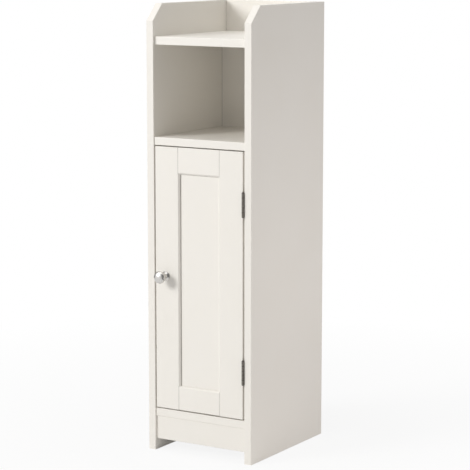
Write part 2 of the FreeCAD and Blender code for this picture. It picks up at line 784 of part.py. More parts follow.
def knob_outline(sketch):
    base, neck = "knob_base_diameter / 2", "knob_neck_diameter / 2"
    rim = ("knob_head_diameter / 2 - knob_rim_radius", "-knob_head_centre")
    rim_back = (rim[0], "knob_rim_radius - knob_head_centre")
    foot = (f"{neck} + knob_foot_radius", "-knob_neck_height")
    tip = ("0", "-knob_projection")
    shapes = [
        Part.LineSegment(spot("0", "0"), spot(base, "0")),
        Part.LineSegment(spot(base, "0"), spot(base, "-knob_base_lip")),
        arc_about(foot, "knob_foot_radius", 120, 180),
        Part.LineSegment(spot(neck, "-knob_neck_height"), spot(*rim_back)),
        arc_about(rim, "knob_rim_radius", -60, 90),
        arc_about(("0", "0"), "knob_projection", -90, -70),
        Part.LineSegment(spot(*tip), spot("0", "0"))]
    back, lip, hollow, throat, edge, cap, axis = [sketch.addGeometry(shape, False) for shape in shapes]
    joints = [
        ("Coincident", back, END, lip, START), ("Coincident", lip, END, hollow, START),
        ("Coincident", hollow, END, throat, START), ("Tangent", throat, END, edge, END),
        ("Tangent", edge, START, cap, END), ("Coincident", cap, START, axis, START),
        ("Coincident", axis, END, back, START), ("PointOnObject", cap, CENTRE, AXIS_V)]
    for joint in joints:
        sketch.addConstraint(Sketcher.Constraint(*joint))
    pin(sketch, back, START, "0", "0")
    pin(sketch, lip, START, base, "0")
    pin(sketch, lip, END, base, "-knob_base_lip")
    pin(sketch, throat, START, neck, "-knob_neck_height")
    pin(sketch, edge, CENTRE, *rim)
    pin(sketch, axis, START, *tip)
    constrain(sketch, "knob_rim_radius", "Radius", edge)
    constrain(sketch, "knob_foot_radius", "Radius", hollow)


def knob():
    body = new_body("knob")
    sketch = sketch_on(body, "XY_Plane")
    knob_outline(sketch)
    turn(body, sketch)
    drill(body, "XZ_Plane", "0", [("0", "0")], "knob_screw_diameter + 2 * fit_play",
          "knob_bore_depth", flip=True)
    finish(body, "knob_x", "front_plane + door_setback", "knob_level")


def knob_screw():
    head, shank = "knob_screw_head_diameter / 2", "knob_screw_diameter / 2"
    length = "door_thickness + knob_screw_grip"
    body = turned("knob_screw", [
        ("0", "-knob_screw_head_height"), (f"{head} * knob_screw_dome_share", "-knob_screw_head_height"),
        (head, "-knob_screw_head_height * knob_screw_dome_share"), (head, "0"),
        (shank, "0"), (shank, length), ("0", length)])
    finish(body, "knob_x", "front_plane + door_rear", "knob_level", aim(0, -1, 0))


# Butt hinges: leaves lie in the hinge gap, knuckles stand just in front of the faces

def hinge_leaf(label, side, knuckles, level):
    body = new_body(label)
    outer, inner = f"{side} * hinge_gap / 2", f"{side} * (hinge_gap / 2 - leaf_thickness)"
    plate = sketch_on(body, "XY_Plane", "-hinge_length / 2")
    add_rectangle(plate, inner, "0", outer, "hinge_pin_forward + leaf_width")
    pad(body, plate, "hinge_length")
    barrel = sketch_on(body, "XY_Plane", "-hinge_length / 2")
    add_circles(barrel, [("0", "0")], "knuckle_diameter")
    pad(body, barrel, "hinge_length")
    bore = sketch_on(body, "XY_Plane")
    add_circles(bore, [("0", "0")], "hinge_pin_diameter + 2 * hinge_pin_play")
    pocket_through(body, bore, both_ways=True)
    other = DOOR_KNUCKLES if knuckles == FRAME_KNUCKLES else FRAME_KNUCKLES
    notch = sketch_on(body, "YZ_Plane")
    low = f"-hinge_length / 2 + knuckle_pitch * {other[0]} - knuckle_clearance / 2"
    add_rectangle(notch, "-knuckle_diameter", low, "knuckle_relief",
                  f"{low} + knuckle_pitch + knuckle_clearance")
    cut = pocket_through(body, notch, both_ways=True)
    repeat_along_v(body, cut, "2 * knuckle_pitch", len(other))
    screws = [("hinge_pin_forward + leaf_screw_inset", f"{end} * leaf_screw_spread / 2") for end in SIDES]
    countersink(body, "YZ_Plane", inner, screws, flip=side > 0)
    finish(body, "hinge_x", "front_plane - hinge_pin_forward", level)


def hinge_pin(label, level):
    body = new_body(label)
    sketch = sketch_on(body, "XZ_Plane")
    shank, top = "hinge_pin_diameter / 2", "hinge_length / 2"
    head, lip = f"{shank} + hinge_pin_head_overhang", f"{top} + hinge_pin_head_lip"
    tail = f"-{top} - hinge_pin_tail"
    add_polygon(sketch, [
        ("0", tail), (shank, tail), (shank, top), (head, top), (head, lip),
        ("hinge_pin_head_overhang", f"{lip} + hinge_pin_crown"), ("0", f"{lip} + hinge_pin_crown")])
    turn(body, sketch)
    finish(body, "hinge_x", "front_plane - hinge_pin_forward", level)


def hinges_and_screws():
    for name, level in HINGES.items():
        hinge_leaf(f"hinge_{name}_frame_leaf", 1, FRAME_KNUCKLES, level)
        hinge_leaf(f"hinge_{name}_door_leaf", -1, DOOR_KNUCKLES, level)
        hinge_pin(f"hinge_{name}_pin", level)
    screw = screw_master()
    for label, side in (("hinge_frame_screws", 1), ("hinge_door_screws", -1)):
        x = f"hinge_x + {side} * (hinge_gap / 2 - leaf_thickness)"
        group(label, [copy_of(screw, x, y, z, aim(side, 0, 0)) for y, z in hinge_screw_places()])
    group("catch_screws", [copy_of(screw, x, y, "shelf_level - catch_ear_thickness")
                           for x, y in catch_screw_places()])
    group("strike_screws", [copy_of(screw, x, "door_rear + strike_thickness", z, aim(0, -1, 0))
                            for x, z in strike_screw_places()])


# Magnetic catch

def catch_housing():
    body = new_body("catch_housing")
    block = sketch_on(body, "XY_Plane", "shelf_level")
    add_rectangle(block, "-catch_offset - catch_width / 2", "catch_front",
                  "-catch_offset + catch_width / 2", "catch_front + catch_depth")
    pad(body, block, "catch_height", flip=True)
    ears = sketch_on(body, "XY_Plane", "shelf_level")
    reach = "catch_width / 2 + catch_ear_width"
    add_rectangle(ears, f"-catch_offset - ({reach})", "catch_ear_middle - catch_ear_depth / 2",
                  f"-catch_offset + {reach}", "catch_ear_middle + catch_ear_depth / 2")
    pad(body, ears, "catch_ear_thickness", flip=True)
    cavity = sketch_on(body, "XZ_Plane", "-catch_front")
    half_height = "magnet_height / 2 + pole_thickness + 2 * fit_play"
    half_width = "pole_width / 2 + fit_play"
    add_rectangle(cavity, f"-catch_offset - ({half_width})", f"catch_level - ({half_height})",
                  f"-catch_offset + {half_width}", f"catch_level + {half_height}")
    pocket(body, cavity, "pole_depth - pole_proud + fit_play")
    countersink(body, "XY_Plane", "shelf_level - catch_ear_thickness", catch_screw_places(), flip=True)
    finish(body)


def catch_block(label, low, height, inset):
    body = new_body(label)
    outline = sketch_on(body, "XY_Plane", low)
    front = "catch_front - pole_proud"
    add_rectangle(outline, "-catch_offset - pole_width / 2", f"{front} + {inset}",
                  "-catch_offset + pole_width / 2", f"{front} + pole_depth")
    pad(body, outline, height)
    return body


def catch_magnet():
    finish(catch_block("catch_magnet", "catch_level - magnet_height / 2", "magnet_height", "magnet_inset"))


def catch_pole_plates():
    low = "catch_level - magnet_height / 2 - fit_play - pole_thickness"
    high = "catch_level + magnet_height / 2 + fit_play"
    plates = [catch_block("lower_pole", low, "pole_thickness", "0"),
              catch_block("upper_pole", high, "pole_thickness", "0")]
    group("catch_pole_plates", plates)


def strike_plate():
    body = new_body("strike_plate")
    outline = sketch_on(body, "XZ_Plane", "-door_rear")
    add_rectangle(outline, "-catch_offset - strike_width / 2", "catch_level - strike_height / 2",
                  "-catch_offset + strike_width / 2", "catch_level + strike_height / 2")
    pad(body, outline, "strike_thickness", flip=True)
    countersink(body, "XZ_Plane", "-(door_rear + strike_thickness)", strike_screw_places(), flip=True)
    finish(body)


# The whole cabinet

def build_carcass():
    side_panel("side_panel_left", -1)
    side_panel("side_panel_right", 1)
    top_panel()
    middle_shelf()
    shelf_with_nails("bottom_panel", "floor_level")
    plinth_rail()
    gallery_back()
    back_panel()
    adjustable_shelf()
    shelf_pins()
    cam_bolts()
    cam_nuts()
    wood_dowels()
    gallery_dowels()
    back_panel_nails()


def build_door():
    latch_stile()
    hinge_stile()
    door_rail("door_rail_top", "door_top", -1, "top_rail_height")
    door_rail("door_rail_bottom", "door_bottom", 1, "bottom_rail_height")
    door_panel()
    knob()
    knob_screw()
    hinges_and_screws()
    catch_housing()
    catch_magnet()
    catch_pole_plates()
    strike_plate()


def check_features():
    for thing in doc.Objects:
        if {"Invalid", "Error"} & set(thing.State):
            raise RuntimeError(f"{thing.Label} did not recompute: {thing.State}")
        base = getattr(thing, "BaseFeature", None)
        if base and thing.TypeId != "PartDesign::Body":
            if abs(base.Shape.Volume - thing.Shape.Volume) < SAME_PLACE:
                raise RuntimeError(f"{thing.Label} changes nothing")


def check_parts():
    for part in parts:
        if part.Shape.isNull() or not part.Shape.isValid():
            raise RuntimeError(f"{part.Label} has no valid shape")
        wanted = len(part.Links) if part.TypeId == "Part::Compound" else 1
        if len(part.Shape.Solids) != wanted:
            raise RuntimeError(f"{part.Label} has {len(part.Shape.Solids)} solids, not {wanted}")


build_carcass()
build_door()
doc.recompute()
check_features()
check_parts()
os.makedirs("parts", exist_ok=True)
for part in parts:
    part.Shape.exportStep(f"parts/{part.Label}.step")
print(f"{len(parts)} sub-parts written")
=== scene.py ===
"""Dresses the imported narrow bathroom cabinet: satin paint, turned metal, real fixings and a studio."""
import json
import math
from collections import namedtuple
from functools import partial, reduce

import bmesh
import bpy
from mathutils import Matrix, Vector

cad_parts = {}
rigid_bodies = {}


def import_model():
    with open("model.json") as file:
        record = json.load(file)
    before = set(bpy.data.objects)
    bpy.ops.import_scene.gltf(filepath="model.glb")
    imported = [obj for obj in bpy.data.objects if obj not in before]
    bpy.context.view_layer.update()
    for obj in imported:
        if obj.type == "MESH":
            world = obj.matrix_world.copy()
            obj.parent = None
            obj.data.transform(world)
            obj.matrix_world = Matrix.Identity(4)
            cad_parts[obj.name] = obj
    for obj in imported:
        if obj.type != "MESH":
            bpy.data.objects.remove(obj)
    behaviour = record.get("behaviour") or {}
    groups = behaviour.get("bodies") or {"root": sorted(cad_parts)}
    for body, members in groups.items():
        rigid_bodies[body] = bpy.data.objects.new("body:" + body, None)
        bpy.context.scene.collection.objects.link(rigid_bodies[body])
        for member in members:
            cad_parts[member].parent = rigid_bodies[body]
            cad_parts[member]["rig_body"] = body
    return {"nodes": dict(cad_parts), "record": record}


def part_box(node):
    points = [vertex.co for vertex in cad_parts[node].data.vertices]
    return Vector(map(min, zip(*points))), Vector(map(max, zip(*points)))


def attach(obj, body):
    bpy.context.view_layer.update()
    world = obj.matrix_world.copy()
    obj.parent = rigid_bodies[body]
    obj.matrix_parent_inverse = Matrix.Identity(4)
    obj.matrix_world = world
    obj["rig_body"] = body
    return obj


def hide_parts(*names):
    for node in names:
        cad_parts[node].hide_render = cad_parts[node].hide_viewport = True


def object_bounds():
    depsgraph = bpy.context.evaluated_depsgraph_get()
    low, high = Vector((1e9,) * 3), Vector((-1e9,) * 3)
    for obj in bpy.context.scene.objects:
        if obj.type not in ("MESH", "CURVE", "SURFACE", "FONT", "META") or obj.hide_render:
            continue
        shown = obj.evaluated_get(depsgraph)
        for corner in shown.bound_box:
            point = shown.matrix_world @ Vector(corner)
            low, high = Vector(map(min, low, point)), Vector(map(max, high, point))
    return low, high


bl_info = {
    "name": "Narrow Bathroom Cabinet",
    "version": (1, 0, 0),
    "blender": (4, 5, 0),
    "location": "View3D > Sidebar > Cabinet",
    "description": "Paints and fits out a narrow bathroom cabinet and sets up its studio",
    "category": "Object",
}

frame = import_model()
CAD_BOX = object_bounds()

BOARDS = ("side_panel_left", "side_panel_right", "top_panel", "middle_shelf", "bottom_panel", "plinth_rail",
          "adjustable_shelf")
DOOR_FRAME = ("door_stile_latch", "door_stile_hinge", "door_rail_top", "door_rail_bottom")
ZINC_NODES = ("shelf_pins", "strike_plate", "catch_pole_plates")
HINGE_LEVELS = ("upper", "lower")
HINGE_PIECES = ("frame_leaf", "door_leaf", "pin")
KNUCKLES = 5

# Ways that the fixings are driven in
RIGHT, LEFT, FORWARDS, UP = Vector((1, 0, 0)), Vector((-1, 0, 0)), Vector((0, -1, 0)), Vector((0, 0, 1))
HINGE_SCREWS = {"hinge_frame_screws": RIGHT, "hinge_door_screws": LEFT}
CATCH_SCREWS = {"catch_screws": UP, "strike_screws": FORWARDS}

# Glue flutes round a dowel of each node
FLUTES = {"wood_dowels": 20, "gallery_dowels": 16}

# Sides of a turned piece, gap that counts as none and turn that still shades as smooth
SIDES = 32
KNOB_SIDES = 96
TINY = 1e-6
SMOOTH_TURN = math.radians(35)

# Lamps: turn to the right of the cabinet's front and rise in degrees, distance and side in metres
Lamp = namedtuple("Lamp", "turn rise away side")
KEY_LAMP = Lamp(turn=-32.0, rise=24.5, away=6.5, side=2.3)
SIDE_LAMP = Lamp(turn=92.0, rise=-11.0, away=1.2, side=0.45)
TOP_LAMP = Lamp(turn=0.0, rise=88.0, away=3.0, side=1.5)

# Dark cards in metres; an upright one has its turn in degrees and its width
CARD_GREY, CARD_AWAY, CARD_HEIGHT = 0.16, 1.6, 2.4
UPRIGHT_CARDS = {"dark_card_left": (-98.0, 1.63), "dark_card_right": (62.0, 3.8)}
FLOOR_CARD_SIZE, FLOOR_CARD_PLACE = (1.65, 2.5), Vector((1.175, -0.25, 0.002))
WHITE = (1.0, 1.0, 1.0)


def slot_colour(slot):
    """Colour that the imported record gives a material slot."""
    return next(entry["base_color"] for entry in frame["record"]["materials"] if entry["slot"] == slot)


# Kinds of property, each with a label, a tooltip and a default

def colour(label, words, default):
    return bpy.props.FloatVectorProperty(
        name=label, description=words, subtype="COLOR", size=3, min=0.0, max=1.0, default=default)


def share(label, words, default):
    return bpy.props.FloatProperty(
        name=label, description=words, subtype="FACTOR", min=0.0, max=1.0, default=default)


def length(label, words, default):
    return bpy.props.FloatProperty(
        name=label, description=words, subtype="DISTANCE", unit="LENGTH", min=0.0, default=default)


def power(label, words, default):
    return bpy.props.FloatProperty(name=label, description=words, unit="POWER", min=0.0, default=default)


def angle(label, words, default):
    return bpy.props.FloatProperty(name=label, description=words, subtype="ANGLE", default=default)


class CabinetPaint(bpy.types.PropertyGroup):
    """Finish of the painted boards and of the back board"""
    paint: colour("Paint", "Satin off-white on every board", (0.87, 0.84, 0.785))
    thin_paint: colour("Thin paint", "Slightly warmer tone where the film is thin", (0.855, 0.82, 0.755))
    sheen: share("Roughness", "Roughness of the dry paint", 0.42)
    stipple: length("Stipple", "Size of the marks that the roller leaves", 0.0011)
    film: length("Film relief", "Height of the roller marks", 0.00015)
    bevel: length("Door bevel", "Width of the bevel along the frame's inner edges", 0.003)
    hairline: length("Hairline", "Width of the crack in the paint where rail meets stile", 0.0009)
    # Painted shade: this width sets the dark line along the door panel's latch side and top, a painted shadow
    # of the frame, and the dark joint line with painted corner shade where gallery and back meet the sides.
    seam: length("Seam", "Width of the dark seam round the door panel, gallery and back", 0.0016)
    # crack sets how dark both the real paint cracks and the painted shade lines are.
    crack: share("Seam shade", "How dark the cracks and seams in the paint are", 0.6)
    hardboard: colour("Hardboard", "Raw rear face of the back board", (0.33, 0.2, 0.105))
    raw_sheen: share("Raw roughness", "Roughness of the raw hardboard", 0.72)
    screen: length("Screen", "Pitch of the wire screen pressed into the raw face", 0.0016)


class CabinetFinishes(bpy.types.PropertyGroup):
    """Finishes of the knob, hinges, fixings and catch"""
    nickel: colour("Knob", "Satin nickel of the knob", slot_colour("satin_nickel"))
    nickel_sheen: share("Knob roughness", "Roughness of the clean nickel", 0.25)
    hinge: colour("Hinges", "Dark satin steel of the hinges", slot_colour("hinge_steel"))
    hinge_sheen: share("Hinge roughness", "Roughness of the clean hinges", 0.33)
    # Painted shade and oil: colour of the dark bands, wider than the real gaps, at the knuckle joints.
    hinge_grime_and_shade: colour("Hinge grime", "Dark oil between the knuckles", (0.035, 0.032, 0.028))
    zinc: colour("Zinc", "Bright zinc plate on screws, pins and bolts", slot_colour("zinc_steel"))
    dull_zinc: colour("Dull zinc", "Zinc plate where it has gone dull", (0.5, 0.53, 0.56))
    zinc_sheen: share("Zinc roughness", "Roughness of the bright zinc plate", 0.26)
    alloy: colour("Cam alloy", "Die-cast alloy of the cams", slot_colour("cam_alloy"))
    dull_alloy: colour("Dull alloy", "Alloy where it has gone dull", (0.4, 0.4, 0.41))
    alloy_sheen: share("Alloy roughness", "Roughness of the clean alloy", 0.42)
    ferrite: colour("Magnet", "Sintered magnet of the catch", slot_colour("ferrite"))
    plastic: colour("Catch", "Moulded body of the catch", slot_colour("catch_plastic"))
    beech: colour("Dowels", "Raw beech of the dowels", slot_colour("dowel_wood"))


class CabinetKnob(bpy.types.PropertyGroup):
    """Sizes of the turned knob; its width and reach come from the frame"""
    base: length("Base", "Radius of the base on the door", 0.00925)
    lip: length("Lip", "Height of the base's straight edge", 0.0016)
    foot: length("Foot hollow", "Radius of the hollow between base and neck", 0.009)
    neck: length("Neck", "Radius of the neck", 0.005)
    neck_height: length("Neck height", "Height of the neck above the door", 0.0095)
    rim: length("Rim", "Radius of the head's rounded rim", 0.0055)
    crown: length("Crown", "Rise of the head's face over its rim", 0.002)
    bore: length("Bore", "Radius of the hole for the knob's screw", 0.0021)
    bore_depth: length("Bore depth", "Depth of the hole for the knob's screw", 0.012)


class CabinetFixings(bpy.types.PropertyGroup):
    """Sizes of the turned, threaded and fluted fixings"""
    screw_shank: length("Screw shank", "Radius of the wood screw's plain shank", 0.00125)
    screw_core: length("Screw core", "Radius of the wood screw under its thread", 0.0009)
    screw_pitch: length("Screw pitch", "Rise of the wood screw's thread in one turn", 0.0011)
    bolt_core: length("Cam bolt core", "Radius of the cam bolt under its thread", 0.0017)
    bolt_pitch: length("Cam bolt pitch", "Rise of the cam bolt's coarse thread in one turn", 0.002)
    knob_core: length("Knob screw core", "Radius of the knob screw under its thread", 0.00162)
    knob_pitch: length("Knob screw pitch", "Rise of the knob screw's thread in one turn", 0.0007)
    recess: length("Recess", "Depth of the cross recess in a screw head", 0.0009)
    recess_width: length("Recess width", "Width of each arm of the cross recess", 0.0007)
    flute: length("Flute", "Depth of the glue flutes along a dowel", 0.00028)
    nail_ring: length("Nail rings", "Pitch of the rings along a nail", 0.0009)
    moulding: length("Moulded edge", "Rounding of the catch's moulded edges", 0.0004)


class CabinetStudio(bpy.types.PropertyGroup):
    """Floor, light and camera"""
    floor: colour("Floor", "Pale studio floor", (0.82, 0.82, 0.82))
    floor_side: length("Floor side", "Side of the square floor", 14.0)
    surround: share("Surround", "Soft light from all round", 0.355)
    surround_tone: colour("Surround tone", "Colour of the soft light from all round", (1.0, 0.985, 0.97))
    key_power: power("Key", "Window-like lamp from the front left", 246.0)
    side_power: power("Side fill", "Low soft lamp on the right that lights the side panel", 2.9)
    side_tone: colour("Side tone", "Colour of the low lamp on the right", (1.0, 0.94, 0.93))
    top_power: power("Top fill", "Soft lamp straight above", 24.0)
    camera_place: bpy.props.FloatVectorProperty(
        name="Camera", description="Where the camera stands", subtype="TRANSLATION", unit="LENGTH", size=3,
        default=(1.98498, -3.22634, 1.03276))
    camera_turn: angle("Turn", "Camera's turn to the left about the upright", 0.5504)
    camera_tilt: angle("Tilt", "Camera's tilt below the horizon", 0.1571)
    lens: bpy.props.FloatProperty(
        name="Lens", description="Focal length in millimetres", unit="CAMERA", min=1.0, default=145.01)


# Node helpers

# Kinds of socket, and the places of a colour Mix node's sockets
VECTOR, COLOUR, FLOAT = "NodeSocketVector", "NodeSocketColor", "NodeSocketFloat"
MIX_FACTOR, MIX_FIRST, MIX_SECOND, MIX_RESULT = 0, 6, 7, 2


def put(tree, kind, inputs=None, **options):
    """Adds a node, sets its options and fills its inputs with values or links."""
    node = tree.nodes.new(kind)
    for option, value in options.items():
        setattr(node, option, value)
    for socket, value in (inputs or {}).items():
        if isinstance(value, bpy.types.NodeSocket):
            tree.links.new(value, node.inputs[socket])
        else:
            node.inputs[socket].default_value = value
    return node


def maths(tree, operation, *values):
    return put(tree, "ShaderNodeMath", dict(enumerate(values)), operation=operation).outputs[0]


def noise(tree, vector, per_metre, detail=2.0, roughness=0.5):
    return put(tree, "ShaderNodeTexNoise", {
        "Vector": vector, "Scale": per_metre, "Detail": detail, "Roughness": roughness}).outputs["Fac"]


def spread(tree, value, low, high, to_low, to_high):
    """Takes a value from one range to another and holds it at the ends."""
    return put(tree, "ShaderNodeMapRange", {
        "Value": value, "From Min": low, "From Max": high, "To Min": to_low, "To Max": to_high}).outputs[0]


def blend_colours(tree, factor, first, second):
    inputs = {MIX_FACTOR: factor, MIX_FIRST: first, MIX_SECOND: second}
    return put(tree, "ShaderNodeMix", inputs, data_type="RGBA").outputs[MIX_RESULT]


def squeezed(tree, vector, scale):
    """Scales coordinates; a small scale draws a pattern out along its axis."""
    return put(tree, "ShaderNodeMapping", {"Vector": vector, "Scale": scale}).outputs[0]


def axes_of(tree, vector):
    return put(tree, "ShaderNodeSeparateXYZ", {0: vector}).outputs


def rgba(values):
    return (*values, 1.0)


def darker(values, kept_share):
    return rgba([kept_share * value for value in values])


def new_group(name, takes, gives):
    """Starts a shader node group and returns its tree, what comes in and what goes out."""
    tree = bpy.data.node_groups.new(name, "ShaderNodeTree")
    for way, sockets in (("INPUT", takes), ("OUTPUT", gives)):
        for label, kind in sockets:
            tree.interface.new_socket(name=label, in_out=way, socket_type=kind)
    return tree, tree.nodes.new("NodeGroupInput").outputs, tree.nodes.new("NodeGroupOutput").inputs


def place_group(tree, name, make, inputs):
    """Places a node group, which is made the first time, and returns its outputs."""
    group = bpy.data.node_groups.get(name) or make(name)
    return put(tree, "ShaderNodeGroup", inputs, node_tree=group).outputs


def bare_tree(owner):
    """Empties the node tree of a material or a world."""
    owner.use_nodes = True
    owner.node_tree.nodes.clear()
    return owner.node_tree


def new_material(name):
    """Starts a material and returns it with its tree, shader and Object coordinates."""
    material = bpy.data.materials.new(name)
    tree = bare_tree(material)
    shader = put(tree, "ShaderNodeBsdfPrincipled")
    put(tree, "ShaderNodeOutputMaterial", {"Surface": shader.outputs[0]})
    return material, tree, shader, put(tree, "ShaderNodeTexCoord").outputs["Object"]


def feed(tree, shader, tone, roughness):
    tree.links.new(tone, shader.inputs["Base Color"])
    tree.links.new(roughness, shader.inputs["Roughness"])


def bump(tree, shader, height, distance):
    node = put(tree, "ShaderNodeBump", {"Height": height, "Distance": distance})
    tree.links.new(node.outputs[0], shader.inputs["Normal"])


def wear(nodes, material):
    """Gives CAD nodes a finished material."""
    for name in nodes:
        slots = frame["nodes"][name].data.materials
        slots.clear()
        slots.append(material)


# Effects that several materials share

def paint_film(name):
    """Paint laid on with a roller: colour drift, sheen and stipple."""
    patches_per_metre, thin_from, thin_to, thinnest = 7.0, 0.35, 0.75, 0.5
    streaks_per_metre, streak_squeeze, streak_height, sheen_swing = 160.0, 0.12, 0.3, 0.12
    tree, entry, leave = new_group(
        name,
        [("Vector", VECTOR), ("Paint", COLOUR), ("Thin paint", COLOUR), ("Roughness", FLOAT),
         ("Stipple", FLOAT)],
        [("Colour", COLOUR), ("Roughness", FLOAT), ("Height", FLOAT)])
    patches = noise(tree, entry["Vector"], patches_per_metre, detail=3.0)
    thin = spread(tree, patches, thin_from, thin_to, 0.0, thinnest)
    tree.links.new(blend_colours(tree, thin, entry["Paint"], entry["Thin paint"]), leave["Colour"])
    marks = noise(tree, entry["Vector"], maths(tree, "DIVIDE", 1.0, entry["Stipple"]), roughness=0.55)
    streaks = noise(tree, squeezed(tree, entry["Vector"], (1.0, 1.0, streak_squeeze)), streaks_per_metre)
    swing = maths(tree, "SUBTRACT", maths(tree, "ADD", patches, streaks), 1.0)
    tree.links.new(maths(tree, "MULTIPLY_ADD", swing, sheen_swing, entry["Roughness"]), leave["Roughness"])
    tree.links.new(maths(tree, "MULTIPLY_ADD", streaks, streak_height, marks), leave["Height"])
    return tree


def joint_and_shade_line(name):
    """Dark line: a joint the paint doesn't bridge, and painted shade along the door panel and inside corners.
    """
    core_share, rim_share = 0.3, 0.6
    tree, entry, leave = new_group(
        name,
        [("Off joint", FLOAT), ("Width", FLOAT), ("Shade", FLOAT), ("Film", COLOUR), ("Dark", COLOUR)],
        [("Colour", COLOUR)])
    core, rim = (maths(tree, "MULTIPLY", entry["Width"], part) for part in (core_share, rim_share))
    line = spread(tree, entry["Off joint"], core, rim, entry["Shade"], 0.0)
    tree.links.new(blend_colours(tree, line, entry["Film"], entry["Dark"]), leave["Colour"])
    return tree


def metal_bloom(name):
    """Handled metal: a dull bloom in patches over the clean metal."""
    dull_from, dull_to, added_roughness = 0.42, 0.72, 0.14
    tree, entry, leave = new_group(
        name,
        [("Vector", VECTOR), ("Clean", COLOUR), ("Dull", COLOUR), ("Roughness", FLOAT), ("Patch", FLOAT)],
        [("Colour", COLOUR), ("Roughness", FLOAT)])
    per_metre = maths(tree, "DIVIDE", 1.0, entry["Patch"])
    patches = noise(tree, entry["Vector"], per_metre, detail=4.0, roughness=0.6)
    dull = spread(tree, patches, dull_from, dull_to, 0.0, 1.0)
    tree.links.new(blend_colours(tree, dull, entry["Clean"], entry["Dull"]), leave["Colour"])
    tree.links.new(maths(tree, "MULTIPLY_ADD", dull, added_roughness, entry["Roughness"]), leave["Roughness"])
    return tree


# Paint

def off_places(tree, axis, *places):
    """Distance along an axis to the nearest of some places."""
    gaps = [maths(tree, "ABSOLUTE", maths(tree, "SUBTRACT", axis, place)) for place in places]
    return reduce(partial(maths, tree, "MINIMUM"), gaps)


def side_joints(tree, axes):
    """Distance to where a board behind meets the side panels, in the inside corners where the line also
    paints corner shade.
    """
    return off_places(tree, axes["X"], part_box("side_panel_left")[1].x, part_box("side_panel_right")[0].x)


def panel_gaps_and_shadow(tree, axes):
    """Distance to the gaps that the loose door panel leaves at its latch side and top, where the line also
    paints the frame's shadow.
    """
    side = off_places(tree, axes["X"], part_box("door_stile_latch")[1].x)
    return maths(tree, "MINIMUM", side, off_places(tree, axes["Z"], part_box("door_rail_top")[0].z))


def frame_joints(bevel, tree, axes):
    """Distance to where the door's rails butt against its stiles; beside the panel it is large."""
    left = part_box("door_stile_latch")[1].x - bevel
    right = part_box("door_stile_hinge")[0].x + bevel
    below_top = maths(tree, "LESS_THAN", axes["Z"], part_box("door_rail_top")[0].z)
    above_bottom = maths(tree, "GREATER_THAN", axes["Z"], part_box("door_rail_bottom")[1].z)
    beside_panel = maths(tree, "MULTIPLY", below_top, above_bottom)
    return maths(tree, "ADD", off_places(tree, axes["X"], left, right), beside_panel)


def lined_film(looks, tree, place, joints=None, width=0.0):
    """Paint film's outputs and its colour, with a dark line along the joints if there are any; the line is
    partly painted shade.
    """
    line_share = 0.3
    film = place_group(tree, "Paint film", paint_film, {
        "Vector": place, "Paint": rgba(looks.paint), "Thin paint": rgba(looks.thin_paint),
        "Roughness": looks.sheen, "Stipple": looks.stipple})
    if not joints:
        return film, film["Colour"]
    lined = place_group(tree, "Joint and shade line", joint_and_shade_line, {
        "Off joint": joints(tree, axes_of(tree, place)), "Width": width, "Shade": looks.crack,
        "Film": film["Colour"], "Dark": darker(looks.thin_paint, line_share)})
    return film, lined["Colour"]


def board_paint(looks, name, joints=None, width=0.0):
    material, tree, shader, place = new_material(name)
    film, tone = lined_film(looks, tree, place, joints, width)
    feed(tree, shader, tone, film["Roughness"])
    bump(tree, shader, film["Height"], looks.film)
    return material


def hardboard(looks):
    """Painted on the face that shows in the niche, raw and screened on the rear."""
    fibres_per_metre, fibre_share, clouds_per_metre, cloud_share = 420.0, 0.7, 14.0, 0.5
    pale_from, pale_to, dark_share, wire_height = 0.35, 0.8, 0.6, 2.0
    material, tree, shader, place = new_material("painted_hardboard")
    # Dark joint lines with painted corner shade where the back meets the sides.
    film, tone = lined_film(looks, tree, place, side_joints, looks.seam)
    low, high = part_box("back_panel")
    axes = axes_of(tree, place)
    rear = maths(tree, "GREATER_THAN", axes["Y"], (low.y + high.y) / 2)
    fibres = noise(tree, place, fibres_per_metre, detail=5.0, roughness=0.65)
    clouds = noise(tree, place, clouds_per_metre, detail=3.0)
    mottled = maths(tree, "MULTIPLY_ADD", clouds, cloud_share, maths(tree, "MULTIPLY", fibres, fibre_share))
    pale = spread(tree, mottled, pale_from, pale_to, 0.0, 1.0)
    raw = blend_colours(tree, pale, darker(looks.hardboard, dark_share), rgba(looks.hardboard))
    feed(tree, shader, blend_colours(tree, rear, tone, raw),
         spread(tree, rear, 0.0, 1.0, film["Roughness"], looks.raw_sheen))
    turn = 2 * math.pi / looks.screen
    across, up = (maths(tree, "SINE", maths(tree, "MULTIPLY", axes[axis], turn)) for axis in "XZ")
    wires = maths(tree, "MULTIPLY", maths(tree, "MULTIPLY", across, up), wire_height)
    pressed = maths(tree, "ADD", wires, fibres)
    bump(tree, shader, spread(tree, rear, 0.0, 1.0, film["Height"], pressed), looks.film)
    return material


class CABINET_OT_paint_boards(bpy.types.Operator):
    """Rolls satin paint onto the carcass boards and the door"""
    bl_idname = "cabinet.paint_boards"
    bl_label = "Paint Boards"

    def execute(self, context):
        looks = context.scene.cabinet_paint
        wear(BOARDS, board_paint(looks, "satin_paint"))
        rail_ends = partial(frame_joints, looks.bevel)
        wear(DOOR_FRAME, board_paint(looks, "door_frame_paint", rail_ends, looks.hairline))
        # Painted shadow of the frame along the panel's latch side and top, over the panel's gaps.
        wear(["door_panel"], board_paint(looks, "door_panel_paint", panel_gaps_and_shadow, looks.seam))
        # Dark joint lines with painted corner shade where the gallery meets the sides.
        wear(["gallery_back"], board_paint(looks, "gallery_paint", side_joints, looks.seam))
        return {"FINISHED"}


class CABINET_OT_dress_back(bpy.types.Operator):
    """Paints the front of the hardboard back and leaves its rear raw"""
    bl_idname = "cabinet.dress_back"
    bl_label = "Dress Back Board"

    def execute(self, context):
        wear(["back_panel"], hardboard(context.scene.cabinet_paint))
        return {"FINISHED"}


# Metal, plastic and wood

